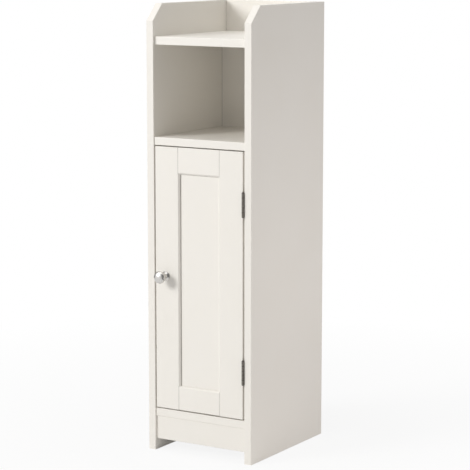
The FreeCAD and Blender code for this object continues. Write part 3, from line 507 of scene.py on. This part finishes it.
def bloom_metal(tree, shader, place, clean, dull, roughness, patch):
    """Makes a shader metal with dull patches and returns the colour that feeds it."""
    metal = place_group(tree, "Metal bloom", metal_bloom, {
        "Vector": place, "Clean": clean, "Dull": dull, "Roughness": roughness, "Patch": patch})
    feed(tree, shader, metal["Colour"], metal["Roughness"])
    shader.inputs["Metallic"].default_value = 1.0
    return metal["Colour"]


def knob_nickel(looks):
    """Satin nickel with the fine rings of the lathe."""
    dull_share, patch, ring_pitch, ring_depth = 0.86, 0.006, 0.00035, 0.0000015
    material, tree, shader, place = new_material("satin_nickel")
    low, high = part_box("knob")
    middle = (low + high) / 2
    centred = put(tree, "ShaderNodeMapping", {"Vector": place, "Location": tuple(-middle)}).outputs[0]
    dull = darker(looks.nickel, dull_share)
    bloom_metal(tree, shader, centred, rgba(looks.nickel), dull, looks.nickel_sheen, patch)
    sideways = (1.0, 0.0, 1.0)
    flat = put(tree, "ShaderNodeVectorMath", {0: centred, 1: sideways}, operation="MULTIPLY").outputs[0]
    away = put(tree, "ShaderNodeVectorMath", {0: flat}, operation="LENGTH").outputs["Value"]
    rings = maths(tree, "SINE", maths(tree, "MULTIPLY", away, 2 * math.pi / ring_pitch))
    bump(tree, shader, rings, ring_depth)
    return material


def hinge_steel(looks, level):
    """Dark satin steel with dark bands at the joints between the knuckles: oil, and painted shade between the
    knuckles.
    """
    name = f"hinge_steel_{level}"
    if name in bpy.data.materials:
        return bpy.data.materials[name]
    dull_share, patch, oil_and_shade_core, oil_and_shade_rim = 0.6, 0.004, 0.02, 0.085
    lines_per_metre, line_squeeze, line_depth = 4000.0, 0.05, 0.00001
    material, tree, shader, place = new_material(name)
    dull = darker(looks.hinge, dull_share)
    steel = bloom_metal(tree, shader, place, rgba(looks.hinge), dull, looks.hinge_sheen, patch)
    low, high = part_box(f"hinge_{level}_frame_leaf")
    pitch = (high.z - low.z) / KNUCKLES
    axes = axes_of(tree, place)
    steps = maths(tree, "DIVIDE", maths(tree, "SUBTRACT", axes["Z"], low.z), pitch)
    # Dark bands about each knuckle joint on the barrel: painted shade between the knuckles, and oil.
    joint = spread(tree, maths(tree, "PINGPONG", steps, 0.5), oil_and_shade_core, oil_and_shade_rim, 1.0, 0.0)
    barrel = maths(tree, "LESS_THAN", axes["Y"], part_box("side_panel_right")[0].y)
    oil_and_shade = maths(tree, "MULTIPLY", joint, barrel)
    tree.links.new(blend_colours(tree, oil_and_shade, steel, rgba(looks.hinge_grime_and_shade)), shader.inputs["Base Color"])
    drawn = squeezed(tree, place, (1.0, 1.0, line_squeeze))
    bump(tree, shader, noise(tree, drawn, lines_per_metre), line_depth)
    return material


def zinc_plate(looks):
    """Bright zinc plate with a fine sparkle."""
    if "bright_zinc" in bpy.data.materials:
        return bpy.data.materials["bright_zinc"]
    patch, specks_per_metre, speck_height = 0.003, 2500.0, 0.000006
    material, tree, shader, place = new_material("bright_zinc")
    bloom_metal(tree, shader, place, rgba(looks.zinc), rgba(looks.dull_zinc), looks.zinc_sheen, patch)
    bump(tree, shader, noise(tree, place, specks_per_metre, detail=3.0), speck_height)
    return material


def cast_alloy(looks):
    """Die-cast alloy with the grain of its mould."""
    patch, grains_per_metre, grain_height = 0.005, 1800.0, 0.00003
    material, tree, shader, place = new_material("cast_alloy")
    bloom_metal(tree, shader, place, rgba(looks.alloy), rgba(looks.dull_alloy), looks.alloy_sheen, patch)
    bump(tree, shader, noise(tree, place, grains_per_metre, detail=4.0, roughness=0.6), grain_height)
    return material


def gritty(name, first, second, clouds, grit, glossy, matt, grains, grain_height, detail=2.0):
    """Surface with clouds of two tones, a gritty sheen and fine grains, each so many to a metre."""
    grit_from, grit_to = 0.3, 0.7
    material, tree, shader, place = new_material(name)
    tone = blend_colours(tree, noise(tree, place, clouds, detail), first, second)
    fine = noise(tree, place, grit, detail=3.0, roughness=0.6)
    feed(tree, shader, tone, spread(tree, fine, grit_from, grit_to, glossy, matt))
    bump(tree, shader, noise(tree, place, grains, detail), grain_height)
    return material


def moulded_plastic(looks):
    """Plastic with faint clouds and the grain of its mould."""
    shade_share = 0.94
    return gritty("moulded_plastic", rgba(looks.plastic), darker(looks.plastic, shade_share), clouds=60.0,
                  grit=900.0, glossy=0.4, matt=0.55, grains=3000.0, grain_height=0.00001)


def magnet_ferrite(looks):
    """Dark magnet with pressed grains."""
    shade_share = 0.5
    return gritty("sintered_ferrite", darker(looks.ferrite, shade_share), rgba(looks.ferrite), clouds=700.0,
                  grit=1600.0, glossy=0.5, matt=0.75, grains=2500.0, grain_height=0.00002, detail=4.0)


def dowel_beech(looks):
    """Beech with its grain along the dowel and short dark pores."""
    grain_squeeze, grains_per_metre, grain_height = 0.08, 1400.0, 0.00006
    late_from, late_to, late_share, smooth, rough = 0.35, 0.65, 0.8, 0.55, 0.75
    pores_per_metre, pore_from, pore_to, most_pore, pore_share = 5000.0, 0.64, 0.7, 0.6, 0.45
    material, tree, shader, place = new_material("raw_beech")
    along = squeezed(tree, place, (grain_squeeze, 1.0, 1.0))
    grain = noise(tree, along, grains_per_metre, detail=4.0, roughness=0.6)
    pores = spread(tree, noise(tree, along, pores_per_metre, detail=1.0), pore_from, pore_to, 0.0, most_pore)
    late = spread(tree, grain, late_from, late_to, 0.0, 1.0)
    wood = blend_colours(tree, late, rgba(looks.beech), darker(looks.beech, late_share))
    feed(tree, shader, blend_colours(tree, pores, wood, darker(looks.beech, pore_share)),
         spread(tree, grain, 0.0, 1.0, smooth, rough))
    bump(tree, shader, grain, grain_height)
    return material


class CABINET_OT_finish_metal(bpy.types.Operator):
    """Finishes the hinges, the cams and the plain zinc pieces"""
    bl_idname = "cabinet.finish_metal"
    bl_label = "Finish Metal"

    def execute(self, context):
        looks = context.scene.cabinet_finishes
        for level in HINGE_LEVELS:
            wear([f"hinge_{level}_{piece}" for piece in HINGE_PIECES], hinge_steel(looks, level))
        wear(ZINC_NODES, zinc_plate(looks))
        wear(["cam_nuts"], cast_alloy(looks))
        return {"FINISHED"}


# Modelling helpers

def deselect():
    if bpy.context.mode != "OBJECT":
        bpy.ops.object.mode_set(mode="OBJECT")
    bpy.ops.object.select_all(action="DESELECT")


def take(*pieces):
    """Selects pieces alone and makes the first active."""
    deselect()
    for piece in pieces:
        piece.select_set(True)
    bpy.context.view_layer.objects.active = pieces[0]


def edit_all(piece):
    """Takes a piece into edit mode with all of it selected."""
    take(piece)
    bpy.ops.object.mode_set(mode="EDIT")
    bpy.ops.mesh.select_all(action="SELECT")


def modify(piece, kind, **options):
    """Gives a piece a modifier and applies it."""
    take(piece)
    bpy.ops.object.modifier_add(type=kind)
    modifier = piece.modifiers[-1]
    for option, value in options.items():
        setattr(modifier, option, value)
    bpy.ops.object.modifier_apply(modifier=modifier.name)


def aim_z(piece, way):
    """Turns a piece so that its Z points a given way."""
    piece.rotation_mode = "QUATERNION"
    piece.rotation_quaternion = way.to_track_quat("Z", "Y")


def pick(piece, test):
    """Selects, in edit mode, the points of a piece whose place passes a test."""
    take(piece)
    bpy.ops.object.mode_set(mode="EDIT")
    bpy.ops.mesh.select_all(action="DESELECT")
    bpy.ops.object.mode_set(mode="OBJECT")
    for point in piece.data.vertices:
        point.select = test(point.co)
    bpy.ops.object.mode_set(mode="EDIT")


def settle(piece):
    """Turns all faces outwards and puts the piece's place into its mesh."""
    edit_all(piece)
    bpy.ops.mesh.normals_make_consistent()
    bpy.ops.object.mode_set(mode="OBJECT")
    bpy.ops.object.transform_apply()
    return piece


def start_disc(name, stations, sides):
    """Lays a disc at the first station, in edit mode."""
    deselect()
    height, radius = stations[0]
    bpy.ops.mesh.primitive_circle_add(
        vertices=sides, radius=radius, fill_type="NGON", location=(0, 0, height))
    piece = bpy.context.object
    piece.name = name
    edit_all(piece)
    return piece


def rise_through(stations):
    """Extrudes the selected face up Z through (height, radius) stations, resized about the axis."""
    height, radius = stations[0]
    for next_height, next_radius in stations[1:]:
        bpy.ops.mesh.extrude_region_move(TRANSFORM_OT_translate={"value": (0, 0, next_height - height)})
        grow = next_radius / radius
        bpy.ops.transform.resize(value=(grow, grow, 1), center_override=(0, 0, next_height))
        height, radius = next_height, next_radius


def lathe(name, stations, sides=SIDES):
    """Turns a piece about Z through (height, radius) stations."""
    piece = start_disc(name, stations, sides)
    rise_through(stations)
    return settle(piece)


def arc(centre, radius, first, last, steps):
    """Stations along an arc between two angles from the axis."""
    turns = [first + (last - first) * step / steps for step in range(steps + 1)]
    return [(centre[0] + radius * math.cos(turn), centre[1] + radius * math.sin(turn)) for turn in turns]


def combine(piece, tool, operation):
    """Adds a tool body to a piece or cuts it out, and removes the tool."""
    modify(piece, "BOOLEAN", operation=operation, solver="EXACT", object=tool)
    bpy.data.objects.remove(tool)
    edit_all(piece)
    bpy.ops.mesh.quads_convert_to_tris()
    bpy.ops.mesh.dissolve_degenerate(threshold=TINY)
    bpy.ops.object.mode_set(mode="OBJECT")


def wind_thread(screw, core, crest, pitch, start, turns):
    """Winds a ridge of tapered section up the screw and joins it on, its ends run out into the core."""
    deselect()
    root_share, crest_share, sunk_share, corners = 0.8, 0.15, 0.2, 4
    sunk = core - sunk_share * (crest - core)
    middle = ((sunk + crest) / 2, 0, start)
    bpy.ops.mesh.primitive_plane_add(size=1, location=middle, rotation=(math.pi / 2, 0, 0))
    ridge = bpy.context.object
    ridge.scale = (crest - sunk, root_share * pitch, 1)
    bpy.ops.object.transform_apply()
    pick(ridge, lambda place: place.x > core)
    bpy.ops.transform.resize(value=(1, 1, crest_share), center_override=(crest, 0, start))
    bpy.ops.mesh.select_all(action="SELECT")
    bpy.ops.mesh.delete(type="ONLY_FACE")
    modify(ridge, "SCREW", screw_offset=pitch, iterations=turns, steps=SIDES, render_steps=SIDES)
    for level in (start, start + pitch * turns):
        pick(ridge, lambda place: place.x > 0 and abs(place.y) < TINY and abs(place.z - level) < pitch / 2)
        bpy.ops.transform.resize(value=(sunk / crest, 1, 1), center_override=(0, 0, level))
    bpy.ops.mesh.select_all(action="SELECT")
    bpy.ops.mesh.fill_holes(sides=corners)
    bpy.ops.mesh.quads_convert_to_tris()
    combine(screw, settle(ridge), "UNION")


def cut_cross(screw, reach, width, depth):
    """Cuts a tapered cross recess into the head at the origin."""
    taper_share = 0.6
    for turn in (0, math.pi / 2):
        deselect()
        bpy.ops.mesh.primitive_cube_add(size=1)
        arm = bpy.context.object
        arm.scale = (reach, width, 2 * depth)
        arm.rotation_euler.z = turn
        bpy.ops.object.transform_apply()
        pick(arm, lambda place: place.z > 0)
        bpy.ops.transform.resize(value=(taper_share, taper_share, 1), center_override=(0, 0, depth))
        combine(screw, settle(arm), "DIFFERENCE")


def solid_boxes(node):
    """Lowest and highest corner of each separate solid in a CAD node, slivers left out."""
    mesh = bmesh.new()
    mesh.from_mesh(frame["nodes"][node].data)
    bmesh.ops.remove_doubles(mesh, verts=mesh.verts, dist=TINY)
    seen, boxes = set(), []
    for first in mesh.verts:
        if first in seen:
            continue
        seen.add(first)
        reached = [first]
        for point in reached:
            near = [edge.other_vert(point) for edge in point.link_edges]
            fresh = [other for other in near if other not in seen]
            seen.update(fresh)
            reached += fresh
        axes = list(zip(*(point.co for point in reached)))
        boxes.append((Vector([min(axis) for axis in axes]), Vector([max(axis) for axis in axes])))
    mesh.free()
    largest = max((high - low).length for low, high in boxes)
    return [(low, high) for low, high in boxes if (high - low).length > largest / 2]


def first_solid(node, aim):
    """Length along the aim and radius across it of a CAD node's first solid."""
    low, high = solid_boxes(node)[0]
    size = high - low
    reach = abs(aim.dot(size))
    return reach, max(side for side in size if abs(side - reach) > TINY) / 2


def stand_for(piece, node, material):
    """Smooths a finished piece and lets it stand for a CAD node."""
    take(piece)
    bpy.ops.object.shade_smooth_by_angle(angle=SMOOTH_TURN)
    piece.data.materials.clear()
    piece.data.materials.append(material)
    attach(piece, frame["nodes"][node]["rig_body"])
    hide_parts(node)


def set_copies(fixing, made, aims, material):
    """Sets copies of a fixing on the solids of CAD nodes and removes it; with no aim they point out."""
    for node, aim in aims.items():
        copies = []
        for low, high in solid_boxes(node):
            middle = (low + high) / 2
            way = aim or (RIGHT if middle.x > 0 else LEFT)
            copy = fixing.copy()
            copy.data = fixing.data.copy()
            bpy.context.scene.collection.objects.link(copy)
            copy.location = middle - way * abs(way.dot(high - low)) / 2
            aim_z(copy, way)
            copies.append(copy)
        take(*copies)
        bpy.ops.object.transform_apply()
        if len(copies) > 1:
            bpy.ops.object.join()
        copies[0].name = f"{node}_{made}"
        stand_for(copies[0], node, material)
    bpy.data.objects.remove(fixing)


# Knob

def knob_stations(sizes):
    """Hollow foot, cone, rounded rim and crowned face, each tangent to the next."""
    foot_steps, rim_steps, face_steps, pole = 8, 12, 8, 0.005
    low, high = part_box("knob")
    head, reach = (high.x - low.x) / 2, high.y - low.y
    lip, neck = Vector((sizes.lip, sizes.base)), Vector((sizes.neck_height, sizes.neck))
    chord = neck - lip
    out = Vector((-chord.y, chord.x)).normalized()
    foot = (lip + neck) / 2 + out * math.sqrt(sizes.foot ** 2 - (chord.length / 2) ** 2)
    hollow = [math.atan2(*reversed(end - foot)) for end in (lip, neck)]
    rim = Vector((reach - sizes.crown - sizes.rim, head - sizes.rim))
    to_rim = rim - neck
    rim_start = math.pi + math.atan2(to_rim.y, to_rim.x) - math.acos(sizes.rim / to_rim.length)
    rise = reach - rim.x
    face = (rise ** 2 + rim.y ** 2 - sizes.rim ** 2) / (2 * (rise - sizes.rim))
    face_start = math.atan2(rim.y, rim.x - (reach - face))
    return [(sizes.bore_depth, sizes.bore), (0, sizes.bore), (0, sizes.base),
            *arc(foot, sizes.foot, *hollow, foot_steps),
            *arc(rim, sizes.rim, rim_start, face_start, rim_steps),
            *arc((reach - face, 0), face, face_start, pole, face_steps)[1:]]


class CABINET_OT_turn_knob(bpy.types.Operator):
    """Turns the knob on the lathe and bores it for its screw"""
    bl_idname = "cabinet.turn_knob"
    bl_label = "Turn Knob"

    def execute(self, context):
        knob = lathe("knob", knob_stations(context.scene.cabinet_knob), KNOB_SIDES)
        nickel = knob_nickel(context.scene.cabinet_finishes)
        set_copies(knob, "turned", {"knob": FORWARDS}, nickel)
        return {"FINISHED"}


# Fixings

def model_wood_screw(sizes):
    """Countersunk wood screw, its head at the origin and its point up Z."""
    reach, head = first_solid("hinge_frame_screws", RIGHT)
    shank, core, pitch = sizes.screw_shank, sizes.screw_core, sizes.screw_pitch
    lip, point, tip, plain, turns = 0.0001, 0.0026, 0.00008, 0.0022, 5
    neck = lip + head - shank
    grip = neck + plain
    screw = lathe("wood_screw", [
        (0, head - lip), (lip, head), (neck, shank), (grip, shank), (grip + shank - core, core),
        (reach - point, core), (reach, tip)])
    wind_thread(screw, core, shank + lip, pitch, grip + pitch / 2, turns)
    cut_cross(screw, head, sizes.recess_width, sizes.recess)
    return screw


def model_knob_screw(sizes):
    """Pan-head machine screw, its head at the origin and its end up Z."""
    reach, head = first_solid("knob_screw", FORWARDS)
    core, pitch = sizes.knob_core, sizes.knob_pitch
    shank, seat, plain, chamfer, turns = 0.002, 0.0026, 0.0135, 0.0005, 18
    recess_width, deeper = 0.0009, 1.6
    grip = seat + plain
    dome_shares = [(0.0, 0.4), (0.1, 0.7), (0.3, 0.89), (0.58, 0.99), (1.0, 1.0)]
    screw = lathe("pan_head_screw", [
        *((rise * seat, out * head) for rise, out in dome_shares), (seat, shank), (grip, shank),
        (grip + shank - core, core), (reach - chamfer, core), (reach, core - chamfer)])
    wind_thread(screw, core, shank, pitch, reach - chamfer - (turns + 0.5) * pitch, turns)
    cut_cross(screw, head, recess_width, deeper * sizes.recess)
    return screw


def model_cam_bolt(sizes):
    """Cam bolt, its head at the origin and its coarse thread up Z."""
    reach, shank = first_solid("cam_bolts", RIGHT)
    core, pitch = sizes.bolt_core, sizes.bolt_pitch
    head, neck, neck_radius, thread, lip, turns = 0.003, 0.004, 0.002, 0.01, 0.0002, 4
    crest_inset, run_in_share, recess_reach = 0.0005, 0.4, 0.0026
    shoulder, end = head + neck + shank - neck_radius, reach - thread
    ball_shares = [(0.0, 0.5), (0.08, 0.78), (0.28, 0.96), (0.5, 1.0), (0.75, 0.93),
                   (1.0, neck_radius / shank)]
    bolt = lathe("cam_bolt", [
        *((rise * head, out * shank) for rise, out in ball_shares), (head + neck, neck_radius),
        (shoulder, shank - lip), (shoulder + lip, shank), (end - lip, shank), (end, shank - lip), (end, core),
        (reach - core / 2, core), (reach, core / 2)])
    wind_thread(bolt, core, shank - crest_inset, pitch, end + run_in_share * pitch, turns)
    cut_cross(bolt, recess_reach, sizes.recess_width, sizes.recess)
    return bolt


def model_dowel(sizes, node, flutes):
    """Fluted beech dowel up Z, its ends chamfered."""
    reach, radius = first_solid(node, RIGHT)
    chamfer, per_flute = radius / 4, 3
    end = radius - chamfer
    stations = [(0, end), (chamfer, radius), (reach - chamfer, radius), (reach, end)]
    dowel = start_disc("dowel", stations, per_flute * flutes)
    step = 2 * math.pi / flutes
    near = step / (2 * per_flute)
    pick(dowel, lambda place: abs(math.remainder(math.atan2(place.x, place.y), step)) < near)
    sunk = 1 - sizes.flute / radius
    bpy.ops.transform.resize(value=(sunk, sunk, 1), center_override=(0, 0, 0))
    bpy.ops.mesh.select_all(action="SELECT")
    rise_through(stations)
    return settle(dowel)


def model_nail(sizes):
    """Ring-shank nail, its flat head at the origin and its point up Z."""
    reach, head = first_solid("back_panel_nails", FORWARDS)
    thick, shank, groove, point, tip, rings = 0.0008, 0.0008, 0.00012, 0.0022, 0.0001, 10
    grip = reach - point - rings * sizes.nail_ring
    stations = [(0, head - groove), (groove, head), (thick, head - groove), (thick, shank), (grip, shank)]
    for ring in range(rings):
        low = grip + ring * sizes.nail_ring
        stations += [(low + groove, shank - groove), (low + sizes.nail_ring, shank)]
    return lathe("ring_nail", [*stations, (reach, tip)])


class CABINET_OT_drive_screws(bpy.types.Operator):
    """Threads the wood screws of the hinges and the catch, and the knob's machine screw"""
    bl_idname = "cabinet.drive_screws"
    bl_label = "Drive Screws"

    def execute(self, context):
        sizes, looks = context.scene.cabinet_fixings, context.scene.cabinet_finishes
        steel, zinc = hinge_steel(looks, HINGE_LEVELS[0]), zinc_plate(looks)
        set_copies(model_wood_screw(sizes), "threaded", HINGE_SCREWS, steel)
        set_copies(model_wood_screw(sizes), "threaded", CATCH_SCREWS, zinc)
        set_copies(model_knob_screw(sizes), "threaded", {"knob_screw": FORWARDS}, zinc)
        return {"FINISHED"}


class CABINET_OT_turn_bolts(bpy.types.Operator):
    """Turns the cam bolts and threads their ends"""
    bl_idname = "cabinet.turn_bolts"
    bl_label = "Turn Cam Bolts"

    def execute(self, context):
        bolt = model_cam_bolt(context.scene.cabinet_fixings)
        zinc = zinc_plate(context.scene.cabinet_finishes)
        set_copies(bolt, "threaded", {"cam_bolts": None}, zinc)
        return {"FINISHED"}


class CABINET_OT_flute_dowels(bpy.types.Operator):
    """Flutes the beech dowels of the carcass and the gallery"""
    bl_idname = "cabinet.flute_dowels"
    bl_label = "Flute Dowels"

    def execute(self, context):
        beech = dowel_beech(context.scene.cabinet_finishes)
        for node, flutes in FLUTES.items():
            dowel = model_dowel(context.scene.cabinet_fixings, node, flutes)
            set_copies(dowel, "fluted", {node: None}, beech)
        return {"FINISHED"}


class CABINET_OT_draw_nails(bpy.types.Operator):
    """Rings the shanks of the nails that hold the back"""
    bl_idname = "cabinet.draw_nails"
    bl_label = "Ring Nails"

    def execute(self, context):
        nail = model_nail(context.scene.cabinet_fixings)
        zinc = zinc_plate(context.scene.cabinet_finishes)
        set_copies(nail, "ringed", {"back_panel_nails": FORWARDS}, zinc)
        return {"FINISHED"}


# Catch

class CABINET_OT_finish_catch(bpy.types.Operator):
    """Rounds the catch's moulded body and finishes its magnet"""
    bl_idname = "cabinet.finish_catch"
    bl_label = "Finish Catch"

    def execute(self, context):
        looks = context.scene.cabinet_finishes
        flat_turn, edge_turn, rounds = math.radians(1), math.radians(40), 2
        body = bpy.data.objects.new("catch_housing_moulded", frame["nodes"]["catch_housing"].data.copy())
        context.scene.collection.objects.link(body)
        edit_all(body)
        bpy.ops.mesh.remove_doubles(threshold=TINY)
        bpy.ops.mesh.dissolve_limited(angle_limit=flat_turn)
        modify(body, "BEVEL", width=context.scene.cabinet_fixings.moulding, segments=rounds,
               limit_method="ANGLE", angle_limit=edge_turn)
        stand_for(body, "catch_housing", moulded_plastic(looks))
        wear(["catch_magnet"], magnet_ferrite(looks))
        return {"FINISHED"}


# Studio

def seen_directly(tree):
    """One for camera, glossy and transmission rays, and nought for the rest."""
    path = put(tree, "ShaderNodeLightPath").outputs
    mirrored = maths(tree, "MAXIMUM", path["Is Glossy Ray"], path["Is Transmission Ray"])
    return maths(tree, "MAXIMUM", path["Is Camera Ray"], mirrored)


def lay_floor(looks):
    """Lays a matt floor that keeps the cabinet's shadow close by and turns white further off."""
    near, far, near_lift = 0.3, 1.3, 0.88
    deselect()
    bpy.ops.mesh.primitive_plane_add(size=looks.floor_side)
    floor = bpy.context.object
    floor.name = "studio_floor"
    material = bpy.data.materials.new("pale_floor")
    tree = bare_tree(material)
    matt = put(tree, "ShaderNodeBsdfDiffuse", {"Color": rgba(looks.floor)})
    glow = put(tree, "ShaderNodeEmission", {"Color": rgba(WHITE)})
    place = put(tree, "ShaderNodeTexCoord").outputs["Object"]
    away = put(tree, "ShaderNodeVectorMath", {0: place}, operation="LENGTH").outputs["Value"]
    lift = maths(tree, "MULTIPLY", spread(tree, away, near, far, near_lift, 1.0), seen_directly(tree))
    mixed = put(tree, "ShaderNodeMixShader", {0: lift, 1: matt.outputs[0], 2: glow.outputs[0]})
    put(tree, "ShaderNodeOutputMaterial", {"Surface": mixed.outputs[0]})
    floor.data.materials.append(material)


def light_world(scene, looks):
    """Lights the scene softly from all round, with a surround that looks plain white."""
    world = bpy.data.worlds.new("studio_surround")
    tree = bare_tree(world)
    seen = seen_directly(tree)
    strength = spread(tree, seen, 0.0, 1.0, looks.surround, 1.0)
    tone = blend_colours(tree, seen, rgba(looks.surround_tone), rgba(WHITE))
    glow = put(tree, "ShaderNodeBackground", {"Color": tone, "Strength": strength})
    put(tree, "ShaderNodeOutputWorld", {"Surface": glow.outputs[0]})
    scene.world = world


def direction(turn, rise):
    """Way out from the cabinet at a turn to the right of its front and a rise, both in degrees."""
    turn, rise = math.radians(turn), math.radians(rise)
    return Vector((math.sin(turn) * math.cos(rise), -math.cos(turn) * math.cos(rise), math.sin(rise)))


def hang_lamp(name, hang, watts, tone):
    """Hangs a square soft lamp out from the cabinet's middle, aimed at it."""
    lamp = bpy.data.lights.new(name, "AREA")
    lamp.shape = "SQUARE"
    lamp.size = hang.side
    lamp.energy = watts
    lamp.color = tone
    hung = bpy.data.objects.new(name, lamp)
    bpy.context.scene.collection.objects.link(hung)
    out = direction(hang.turn, hang.rise)
    hung.location = (CAD_BOX[0] + CAD_BOX[1]) / 2 + out * hang.away
    aim_z(hung, out)


def set_card(name, size, place, facing, material):
    """Sets a flat card that the metal reflects and the camera, shadows and matt surfaces don't see."""
    deselect()
    bpy.ops.mesh.primitive_plane_add(size=1.0)
    card = bpy.context.object
    card.name = name
    card.scale = (*size, 1.0)
    card.location = place
    aim_z(card, facing)
    bpy.ops.object.transform_apply()
    card.visible_camera = card.visible_diffuse = card.visible_shadow = False
    card.data.materials.append(material)


def set_dark_cards():
    material = bpy.data.materials.new("dark_card")
    tree = bare_tree(material)
    glow = put(tree, "ShaderNodeEmission", {"Color": darker(WHITE, CARD_GREY)})
    put(tree, "ShaderNodeOutputMaterial", {"Surface": glow.outputs[0]})
    for name, (turn, width) in UPRIGHT_CARDS.items():
        out = direction(turn, 0.0)
        set_card(name, (width, CARD_HEIGHT), out * CARD_AWAY + UP * CARD_HEIGHT / 2, out, material)
    set_card("dark_card_floor", FLOOR_CARD_SIZE, FLOOR_CARD_PLACE, UP, material)


def stand_camera(scene, looks):
    camera = bpy.data.objects.new("camera", bpy.data.cameras.new("camera"))
    scene.collection.objects.link(camera)
    camera.location = looks.camera_place
    camera.rotation_euler = (math.pi / 2 - looks.camera_tilt, 0.0, looks.camera_turn)
    camera.data.lens = looks.lens
    camera.data.sensor_width = 36.0
    scene.camera = camera
    scene.view_settings.view_transform = "Standard"


class CABINET_OT_studio(bpy.types.Operator):
    """Lays the floor, hangs the lamps and stands the camera"""
    bl_idname = "cabinet.studio"
    bl_label = "Studio"

    def execute(self, context):
        looks = context.scene.cabinet_studio
        lay_floor(looks)
        light_world(context.scene, looks)
        hang_lamp("key_lamp", KEY_LAMP, looks.key_power, WHITE)
        hang_lamp("side_lamp", SIDE_LAMP, looks.side_power, looks.side_tone)
        hang_lamp("top_lamp", TOP_LAMP, looks.top_power, WHITE)
        set_dark_cards()
        stand_camera(context.scene, looks)
        return {"FINISHED"}


# Panel and registration

class VIEW3D_PT_cabinet(bpy.types.Panel):
    """Lists the cabinet's looks and the steps that make them"""
    bl_label = "Bathroom Cabinet"
    bl_space_type = "VIEW_3D"
    bl_region_type = "UI"
    bl_category = "Cabinet"

    def draw(self, context):
        for name in GROUPS:
            group = getattr(context.scene, name)
            box = self.layout.box()
            for entry in group.bl_rna.properties.keys():
                if entry not in ("rna_type", "name"):
                    box.prop(group, entry)
        for operator in OPERATORS:
            self.layout.operator(operator.bl_idname)


GROUPS = {"cabinet_paint": CabinetPaint, "cabinet_finishes": CabinetFinishes, "cabinet_knob": CabinetKnob,
          "cabinet_fixings": CabinetFixings, "cabinet_studio": CabinetStudio}
OPERATORS = (CABINET_OT_paint_boards, CABINET_OT_dress_back, CABINET_OT_finish_metal, CABINET_OT_finish_catch,
             CABINET_OT_turn_knob, CABINET_OT_drive_screws, CABINET_OT_turn_bolts, CABINET_OT_flute_dowels,
             CABINET_OT_draw_nails, CABINET_OT_studio)
CLASSES = (*GROUPS.values(), *OPERATORS, VIEW3D_PT_cabinet)


def register():
    for kind in CLASSES:
        bpy.utils.register_class(kind)
    for name, kind in GROUPS.items():
        setattr(bpy.types.Scene, name, bpy.props.PointerProperty(type=kind))


def unregister():
    for name in GROUPS:
        delattr(bpy.types.Scene, name)
    for kind in reversed(CLASSES):
        bpy.utils.unregister_class(kind)


def main():
    register()
    bpy.ops.cabinet.paint_boards()
    bpy.ops.cabinet.dress_back()
    bpy.ops.cabinet.finish_metal()
    bpy.ops.cabinet.finish_catch()
    bpy.ops.cabinet.turn_knob()
    bpy.ops.cabinet.drive_screws()
    bpy.ops.cabinet.turn_bolts()
    bpy.ops.cabinet.flute_dowels()
    bpy.ops.cabinet.draw_nails()
    bpy.ops.cabinet.studio()


if __name__ == "__main__":
    main()
